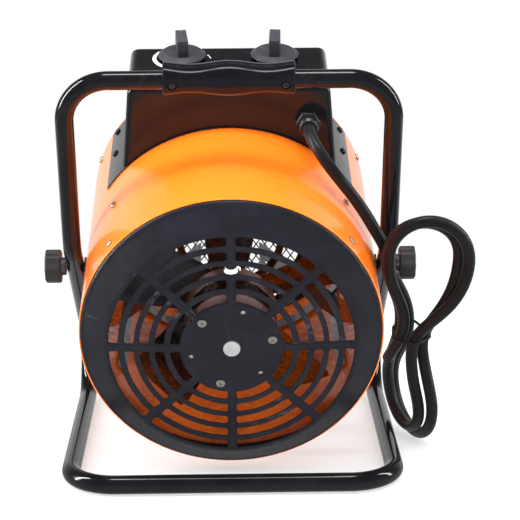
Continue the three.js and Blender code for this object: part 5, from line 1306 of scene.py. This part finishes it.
cover_layers = [(BOX_FRONT, 6.3), *round_layers(BOX_FRONT, BOX_BACK, 6, 7), (BOX_BACK, 6.3)]
cover = stack(box_outline(0), cover_layers, flip_yz)
hollow = stack(box_outline(BOX_WALL), round_layers(BOX_FRONT + BOX_WALL, BOX_BACK - BOX_WALL, 4, 4), flip_yz)
holes = [moved(stack(circle(9, 32), [(190, 0), (210, 0)]), Matrix.Translation((x, KNOB_ALONG, 0)))
         for x in (-KNOB_PLACE, KNOB_PLACE)]
holes.append(moved(stack(circle(9.4, 32), [(10, 0), (22, 0)], flip_yz),
                   Matrix.Translation((GLAND_X, 0, GLAND_Z))))
holes += [moved(stack(circle(2.3, 20), [(118, 0), (130, 0)], flip_yz), Matrix.Translation((x, 0, 168)))
          for x in (-TAB_PLACE, TAB_PLACE)]
under = tube([(0, 0, 0), (0, 200, 0)], 154.35, 256)
cover = carve(carve(carve(cover, hollow), under), merged(*holes))
piece("box_cover_moulded", cover, drum_frame, "drum", box_black, ["box_cover"], 35)
cover_seats = [((x, BOX_BACK + 0.1, 168), (0, 1, 0)) for x in (-TAB_PLACE, TAB_PLACE)]
piece("cover_screws", screws(pan, cover_seats), drum_frame, "drum", zinc)
ring_seats = wall_screws((70, 160, 200, 290), 151, DRUM_RADIUS + 0.1)
piece("outlet_ring_screws", screws(pan, ring_seats), drum_frame, "drum", zinc)
print("box", 2 * BOX_TOP_HALF, "mm wide at the top, wall", BOX_WALL)

# %% [markdown]
# ## Knobs and the dial mark
# Both knobs are one moulding: a flared skirt, a low crown and a grip blade. The blade leans in a little
# towards its top, as it must to leave the mould. The white crescent under the thermostat knob is widest
# half way round.

# %% Knobs
KNOB_TOP, BLADE_HALF, BLADE_REACH = 223.45, 6.0, 16.5


def knob(turned_by):
    """A knob and the mark on its blade, both turned by an angle."""
    corners = [(0, 199.9), (23.8, 199.9), (25.4, 201.2), (25.4, 202.2), (19.6, 206.2), (18.9, 205.5),
               (0, 205.5)]
    profile = soften(corners, [0, 0.6, 0.6, 0.5, 0.3, 0.3, 0], 4, closed=False)
    skirt = moved(lathe(profile, 96, whole=False), flip_yz)
    top_edge = [(height, 0.3 + inset) for height, inset in round_layers(211, KNOB_TOP, 0.7, 4)[5:]]
    outline = rectangle(-BLADE_HALF, -BLADE_REACH, BLADE_HALF, BLADE_REACH, 1.5, 4)
    grip_blade = stack(outline, [(204.5, 0.0), (206.6, 0.0)] + top_edge)
    mark = stack(rectangle(-0.9, 8, 0.9, 14, 0.5), [(KNOB_TOP - 0.25, 0), (KNOB_TOP + 0.2, 0)])
    bore = tube([(0, 0, 190), (0, 0, 205.5)], 3.35, 24)
    body = merged(carve(skirt, bore), grip_blade)
    spin = Matrix.Rotation(turned_by, 4, "Z")
    return moved(body, spin), moved(mark, spin)


for name, side, turned_by, body_name in (("thermostat", -1, math.radians(5), "thermostat_dial"),
                                         ("mode", 1, math.radians(-3), "mode_dial")):
    body, mark = knob(turned_by)
    place = drum_frame @ Matrix.Translation((side * KNOB_PLACE, KNOB_ALONG, 0))
    piece(name + "_knob_moulded", body, place, body_name, knob_grey, [name + "_knob"], 32)
    piece(name + "_knob_mark", mark, place, body_name, knob_grey)

# %% White print under the thermostat knob
PRINT_FOOT, PRINT_TOP, DIAL_CIRCLE, DIAL_STEPS = 198.02, 198.12, 29.4, 48


def printed(band):
    """A thin printed shape; band gives the angle and the two radii at each of its places."""
    outline = [(outer * math.cos(a), outer * math.sin(a)) for a, inner, outer in band]
    outline += [(inner * math.cos(a), inner * math.sin(a)) for a, inner, outer in reversed(band)]
    return stack(outline, [(PRINT_FOOT, 0), (PRINT_TOP, 0.03)])


crescent = []
for k in range(DIAL_STEPS + 1):
    share = k / DIAL_STEPS
    wide = 0.4 + 4.0 * math.sin(math.pi * share) ** 0.8
    crescent.append((math.radians(115 + 215 * share), DIAL_CIRCLE - wide / 2, DIAL_CIRCLE + wide / 2))
tick = [(math.radians(17 - 2.5 * k), 27.3 + 0.32 * k, 28.3 + 0.32 * k) for k in range(8, -1, -1)]
print_white = Finish("screen_print_white", (0.8, 0.8, 0.78), 0.5).tint(300, 0.05)
print_white.gloss(600, 0.42, 0.6).grain(2500, 0.0001, 0.2)
piece("thermostat_dial_print", merged(printed(crescent), printed(tick)),
      drum_frame @ Matrix.Translation((-KNOB_PLACE, KNOB_ALONG, 0)), "drum", print_white)
print("knobs reach", round(KNOB_TOP - BOX_TOP, 1), "mm above the box")

# %% [markdown]
# ## Cable gland
# The gland has a hexagon body with chamfered corners and a clamping nut with grip ribs and a domed mouth,
# which is the strain relief: it squeezes a rubber sleeve round the cable.

# %% Gland
gland_black = Finish("nylon_black", (0.006, 0.006, 0.0065), 0.3, 0.0, 0.4).tint(100, 0.2)
gland_black.gloss(200, 0.22, 0.36).grain(1200, 0.0002, 0.2).edge_wear_and_highlight((0.03, 0.03, 0.032), 0.5)
gland_frame = drum_frame @ Matrix.Translation((GLAND_X, 0, GLAND_Z))
HEX_RADIUS, RIB_DEPTH, RIBS = 13.28, 0.28, 12
hex_outline = soften(circle(HEX_RADIUS, 6), 1.2)
hex_layers = [(9.75, 0.9), (10.3, 0.3), (10.8, 0), (15.8, 0), (16.2, 0.2), (16.6, 0.6)]
hexagon = stack(hex_outline, hex_layers, flip_yz)
hexagon = carve(hexagon, tube([(0, 0, 0), (0, 30, 0)], 7.0, 32))
thread = lathe(rectangle(7.0, 12, 9, 28.5, 0.4), 48)
sleeve = lathe(soften([(6.35, 3.3), (6.9, 3.3), (7.1, 16), (6.35, 16)], 0.15), 48)
piece("gland_body_hex", merged(hexagon, thread, sleeve), gland_frame, "drum", gland_black,
      ["gland_body"], 32)
nut_corners = [(7.0, 9.4), (11, 9.4), (11, 1.0), (9.2, -2.6), (7.6, -3.3), (6.5, -3.0), (6.5, 2.4),
               (7.0, 3.0)]
nut_profile = soften(nut_corners, [0.3, 0.8, 2.5, 2.0, 0.8, 0.5, 0.3, 0.3], 4)
nut_rings = []
for k in range(144):
    rib = RIB_DEPTH * (0.5 + 0.5 * math.cos(2 * math.pi * k / RIBS))
    ring = []
    for radius, along in nut_profile:
        outer = smooth(8.6, 10.4, radius) * (1 - smooth(8.2, 9.2, along))
        ring.append(around(360 * k / 144, radius - rib * outer, along))
    nut_rings.append(ring)
piece("gland_nut_ribbed", skin(nut_rings, closed_path=True), gland_frame, "drum", gland_black,
      ["gland_nut"], 35)
print("gland", 2 * HEX_RADIUS, "mm over the corners")

# %% [markdown]
# ## Clamp knobs at the pivots
# A clamp knob has flutes so that a hand can tighten it. The outline is a circle with eight waves, stacked
# along the pivot's axis with rounded rims. A rubber washer fills the gap between the tube and the drum.

# %% Clamp knobs
def along_x(side):
    """Turns a stack along Z into one along +X or -X."""
    return Matrix.Rotation(side * math.pi / 2, 4, "Y")


def turned_part(corners, radii, along, steps=48):
    """A turned part whose axis lies along Z, moved along it."""
    return moved(lathe(soften(corners, radii), steps), Matrix.Translation((0, 0, along)) @ flip_yz)


KNOB_RADIUS, FLUTE, FLUTES = 17.35, 0.8, 8
fluted = []
for k in range(128):
    angle = 2 * math.pi * k / 128
    radius = KNOB_RADIUS + FLUTE * math.cos(FLUTES * angle)
    fluted.append((radius * math.cos(angle), radius * math.sin(angle)))
washer_rubber = Finish("washer_rubber", (0.012, 0.012, 0.012), 0.6).tint(200, 0.2)
washer_rubber.gloss(300, 0.5, 0.7).grain(1200, 0.0002, 0.3)
for name, side in (("left", -1), ("right", 1)):
    place = stand_frame @ Matrix.Translation((0, 0, PIVOT_HEIGHT)) @ along_x(side)
    well = stack(circle(11, 48), [(196.0, 0.6), (196.2, 0.15), (196.5, 0), (199, -0.4)])
    head = carve(stack(fluted, round_layers(179.8, 196.7, 2, 5)), well)
    neck = turned_part([(9.5, 0), (9.5, 6), (3.4, 6), (3.4, 0)], [0.6, 0, 0, 0.3], 174.85, 64)
    piece("clamp_knob_fluted_" + name, merged(head, neck), place, "clamp_" + name, clamp_grey,
          ["clamp_knob_" + name], 32)
    nut = turned_part([(3.35, -2.35), (5.9, -2.35), (5.9, -0.1), (4.45, 0), (4.45, 11.2), (3.35, 11.2)],
                      [0.2, 0.5, 0.3, 0, 0.4, 0.2], 143.95)
    piece("pivot_nut_turned_" + name, nut, place, "drum", zinc, ["pivot_nut_" + name], 32)
    spacer = turned_part([(6.1, 0), (9.5, 0), (9.5, 2.6), (6.1, 2.6)], 0.5, 152.8)
    piece("pivot_spacer_" + name, spacer, place, "drum", washer_rubber)
print("clamp knobs", round(2 * (KNOB_RADIUS + FLUTE), 1), "mm across")

# %% [markdown]
# ## The cable tie and the motor lead
# The motor lead climbs behind the top spoke and is tied to it. The tie is a thin band: one sweep of a flat
# section round spoke and lead, with a square head and a cut tail.

# %% Cable tie and motor lead
TIE_PLACE, LEAD_RADIUS = 86.7, 3.2
behind = -168.5 + 4 * LEAD_RADIUS
crown = DRUM_INNER - 2 * LEAD_RADIUS - 0.3
drop = 0.55 * (crown - TIE_PLACE)
lead_corners = [(0, behind, 46.3), (0, behind, crown - drop),
                (0, behind + drop * math.tan(math.radians(36)), crown), (0, 40, crown), (0, 40, 162.7),
                (0, 91.7, 162.7)]
motor_lead_line = eased(even(bent(lead_corners, [9.6] * 4, 8), 2.5), 3)
piece("motor_lead_round", tube(motor_lead_line, LEAD_RADIUS - 0.05, 20), drum_frame, "drum",
      cable_rubber, ["motor_lead"], 50)

tie_front, tie_back, tie_half = -169.9, -152.6, 5.6
band_line = soften([(-tie_half, tie_front), (0, tie_front), (tie_half, tie_front), (tie_half - 1.2, tie_back),
                    (-tie_half + 1.2, tie_back)], [2.6, 0, 2.6, 2.6, 2.6], 6)
band_line = [Vector((p.x, p.y, TIE_PLACE - 1 + 1.6 * (p.x / tie_half) ** 2)) for p in band_line]
band_section = [(u, v) for u, v in ((-0.55, -2.1), (0.55, -2.1), (0.6, -1.9), (0.6, 1.9), (0.55, 2.1),
                                    (-0.55, 2.1), (-0.6, 1.9), (-0.6, -1.9))]
band = sweep(band_line, lambda i, share: band_section, closed=True, start_normal=Vector((0, 1, 0)))
head = stack(rectangle(-3, -2.6, 3, 2.6, 0.8), round_layers(0, 3.6, 0.6))
head.transform(Matrix.Translation((4.9, -158, TIE_PLACE - 0.2)) @ Matrix.Rotation(math.radians(90), 4, "Y"))
tail = stack(rectangle(-0.5, -2, 0.5, 2, 0.3), round_layers(0, 7, 0.3))
tail.transform(Matrix.Translation((7.9, -161, TIE_PLACE)) @ Matrix.Rotation(math.radians(80), 4, "X")
               @ Matrix.Rotation(math.radians(8), 4, "Y"))
piece("spoke_tie_band", merged(band, head, tail), drum_frame, "drum", white_nylon,
      ["spoke_cable_tie"], 35)
print("motor lead", round(length_of(motor_lead_line)), "mm, tied at", TIE_PLACE)

# %% [markdown]
# ## The pieces that stay CAD
# What hardly shows keeps its CAD shape. Each still gets its finish, and a small bevel so its edges catch
# light.

# %% Finishes for the carried-over nodes
carried = {
    "stator_core": dark_steel, "motor_rear_bearing": zinc, "motor_front_bearing": zinc, "rotor_shaft": steel,
    "element_frame": steel, "element_plate": steel, "overheat_cutout": switch_brown,
    "switch_body": switch_brown, "mode_shaft": zinc, "thermostat_body": steel, "thermostat_shaft": zinc,
    "thermostat_bulb": copper, "terminal_block": white_nylon, "clamp_stud_left": zinc,
    "clamp_stud_right": zinc,
}
SOFT_EDGE = 0.0003
for name, finish in carried.items():
    node = nodes[name]
    node.data.materials.clear()
    node.data.materials.append(finish.material)
    bevel = node.modifiers.new("soft_edges", "BEVEL")
    bevel.width, bevel.segments, bevel.limit_method = SOFT_EDGE, 2, "ANGLE"
    bevel.angle_limit = math.radians(40)
left_over = [name for name, node in nodes.items() if not node.hide_render and name not in carried]
print("carried over:", len(carried), "and without a finish:", left_over)

# %% [markdown]
# ## Floor and light
# The picture is a product shot: white all round and soft light from everywhere. Black enamel and moulding
# show only by what they mirror, so light and mirror image are set apart here. The camera sees a white
# world, but the surfaces feel one that is bright low down behind the heater and dim above and round the
# camera. The floor glows more the further out it lies, which makes it run into the white. Its mirror image
# is dimmer in front, which keeps the grille dark. A wide tent light and a low front light fill the shadows
# and aren't mirrored; a small light above and a strip on each side draw the narrow highlights.

# %% Floor
FLOOR_RADIUS = 1.6
floor_mesh = bmesh.new()
bmesh.ops.create_circle(floor_mesh, cap_ends=True, radius=FLOOR_RADIUS, segments=96)
floor_data = bpy.data.meshes.new("floor")
floor_mesh.to_mesh(floor_data)
floor_mesh.free()
floor = bpy.data.objects.new("floor", floor_data)
floor.location = (0, 0, -0.0005)
bpy.context.scene.collection.objects.link(floor)
# The floor's base colour leans to cyan to cancel the orange light the drum bounces onto it: a painted
# correction of that light, not the floor's own colour.
pale_floor = Finish("pale_floor", (0.82, 0.9, 0.91), 0.5, 0.0, 0.2).tint(3, 0.01)
floor_data.materials.append(pale_floor.material)
glow = pale_floor.node("ShaderNodeEmission", Color=(1, 1, 1), Strength=1.0)
away = pale_floor.node("ShaderNodeVectorMath", {"operation": "LENGTH"})
pale_floor.join(pale_floor.place, away.inputs[0])
fade = pale_floor.ramp(away.outputs["Value"], 0.3, 0.85, 0.55, 1.0)
lit_floor = pale_floor.mix_shaders(fade, pale_floor.shader.outputs[0], glow.outputs[0])
depth = pale_floor.node("ShaderNodeSeparateXYZ", Vector=pale_floor.place).outputs["Y"]
mirror_glow = pale_floor.node("ShaderNodeEmission", Color=(1, 1, 1),
                              Strength=pale_floor.ramp(depth, -0.1, 0.5, 0.45, 0.95))
mirror_ray = pale_floor.node("ShaderNodeLightPath").outputs["Is Glossy Ray"]
floor_surface = pale_floor.mix_shaders(mirror_ray, lit_floor, mirror_glow.outputs[0])
pale_floor.join(floor_surface, pale_floor.tree.nodes["Material Output"].inputs["Surface"])
print("floor", 2 * FLOOR_RADIUS, "m across")

# %% World
world = bpy.data.worlds.new("studio")
bpy.context.scene.world = world
world.use_nodes = True
sky = Wiring(world.node_tree)
sky.tree.nodes.clear()
direction = sky.node("ShaderNodeSeparateXYZ", Vector=sky.node("ShaderNodeTexCoord").outputs["Generated"])
low_down = sky.ramp(direction.outputs["Z"], 0.25, 0.6, 1.0, 0.12)
behind_heater = sky.ramp(direction.outputs["Y"], 0.5, 0.95, 0.12, 1.0)
tone = sky.mix(sky.multiply(low_down, behind_heater), (0.05, 0.05, 0.055), (1, 1, 1))
felt = sky.node("ShaderNodeBackground", Color=tone, Strength=0.9)
seen = sky.node("ShaderNodeBackground", Color=(1, 1, 1), Strength=1.0)
camera_ray = sky.node("ShaderNodeLightPath").outputs["Is Camera Ray"]
sky.join(sky.mix_shaders(camera_ray, felt.outputs[0], seen.outputs[0]),
         sky.node("ShaderNodeOutputWorld").inputs["Surface"])
print("world with", len(sky.tree.nodes), "nodes")

# %% Lights
# Each light: name, place, aim, size, power, and whether it shows in mirror images.
LIGHTS = (("tent", (0, -0.5, 2.3), (0, 0, 0), (3.4, 3.0), 115, False),
          ("overhead", (0, -0.2, 2.3), (0, 0, 0), (0.9, 0.5), 22, True),
          ("left_strip", (-1.5, -0.1, 0.9), (0, 0, 0.25), (0.16, 1.5), 40, True),
          ("right_strip", (1.6, 0.0, 0.9), (0, 0, 0.25), (0.16, 1.4), 18, True),
          ("front_low", (0.1, -2.2, 0.35), (0, 0, 0.2), (0.9, 0.5), 75, False))
for name, place, aim, size, power, mirrored in LIGHTS:
    light = bpy.data.objects.new(name, bpy.data.lights.new(name, "AREA"))
    light.data.shape = "RECTANGLE"
    light.data.size, light.data.size_y = size
    light.data.energy = power
    light.location = place
    light.rotation_euler = (Vector(aim) - Vector(place)).to_track_quat("-Z", "Y").to_euler()
    light.visible_glossy = mirrored
    bpy.context.scene.collection.objects.link(light)
print(len(LIGHTS), "lights")

# %% [markdown]
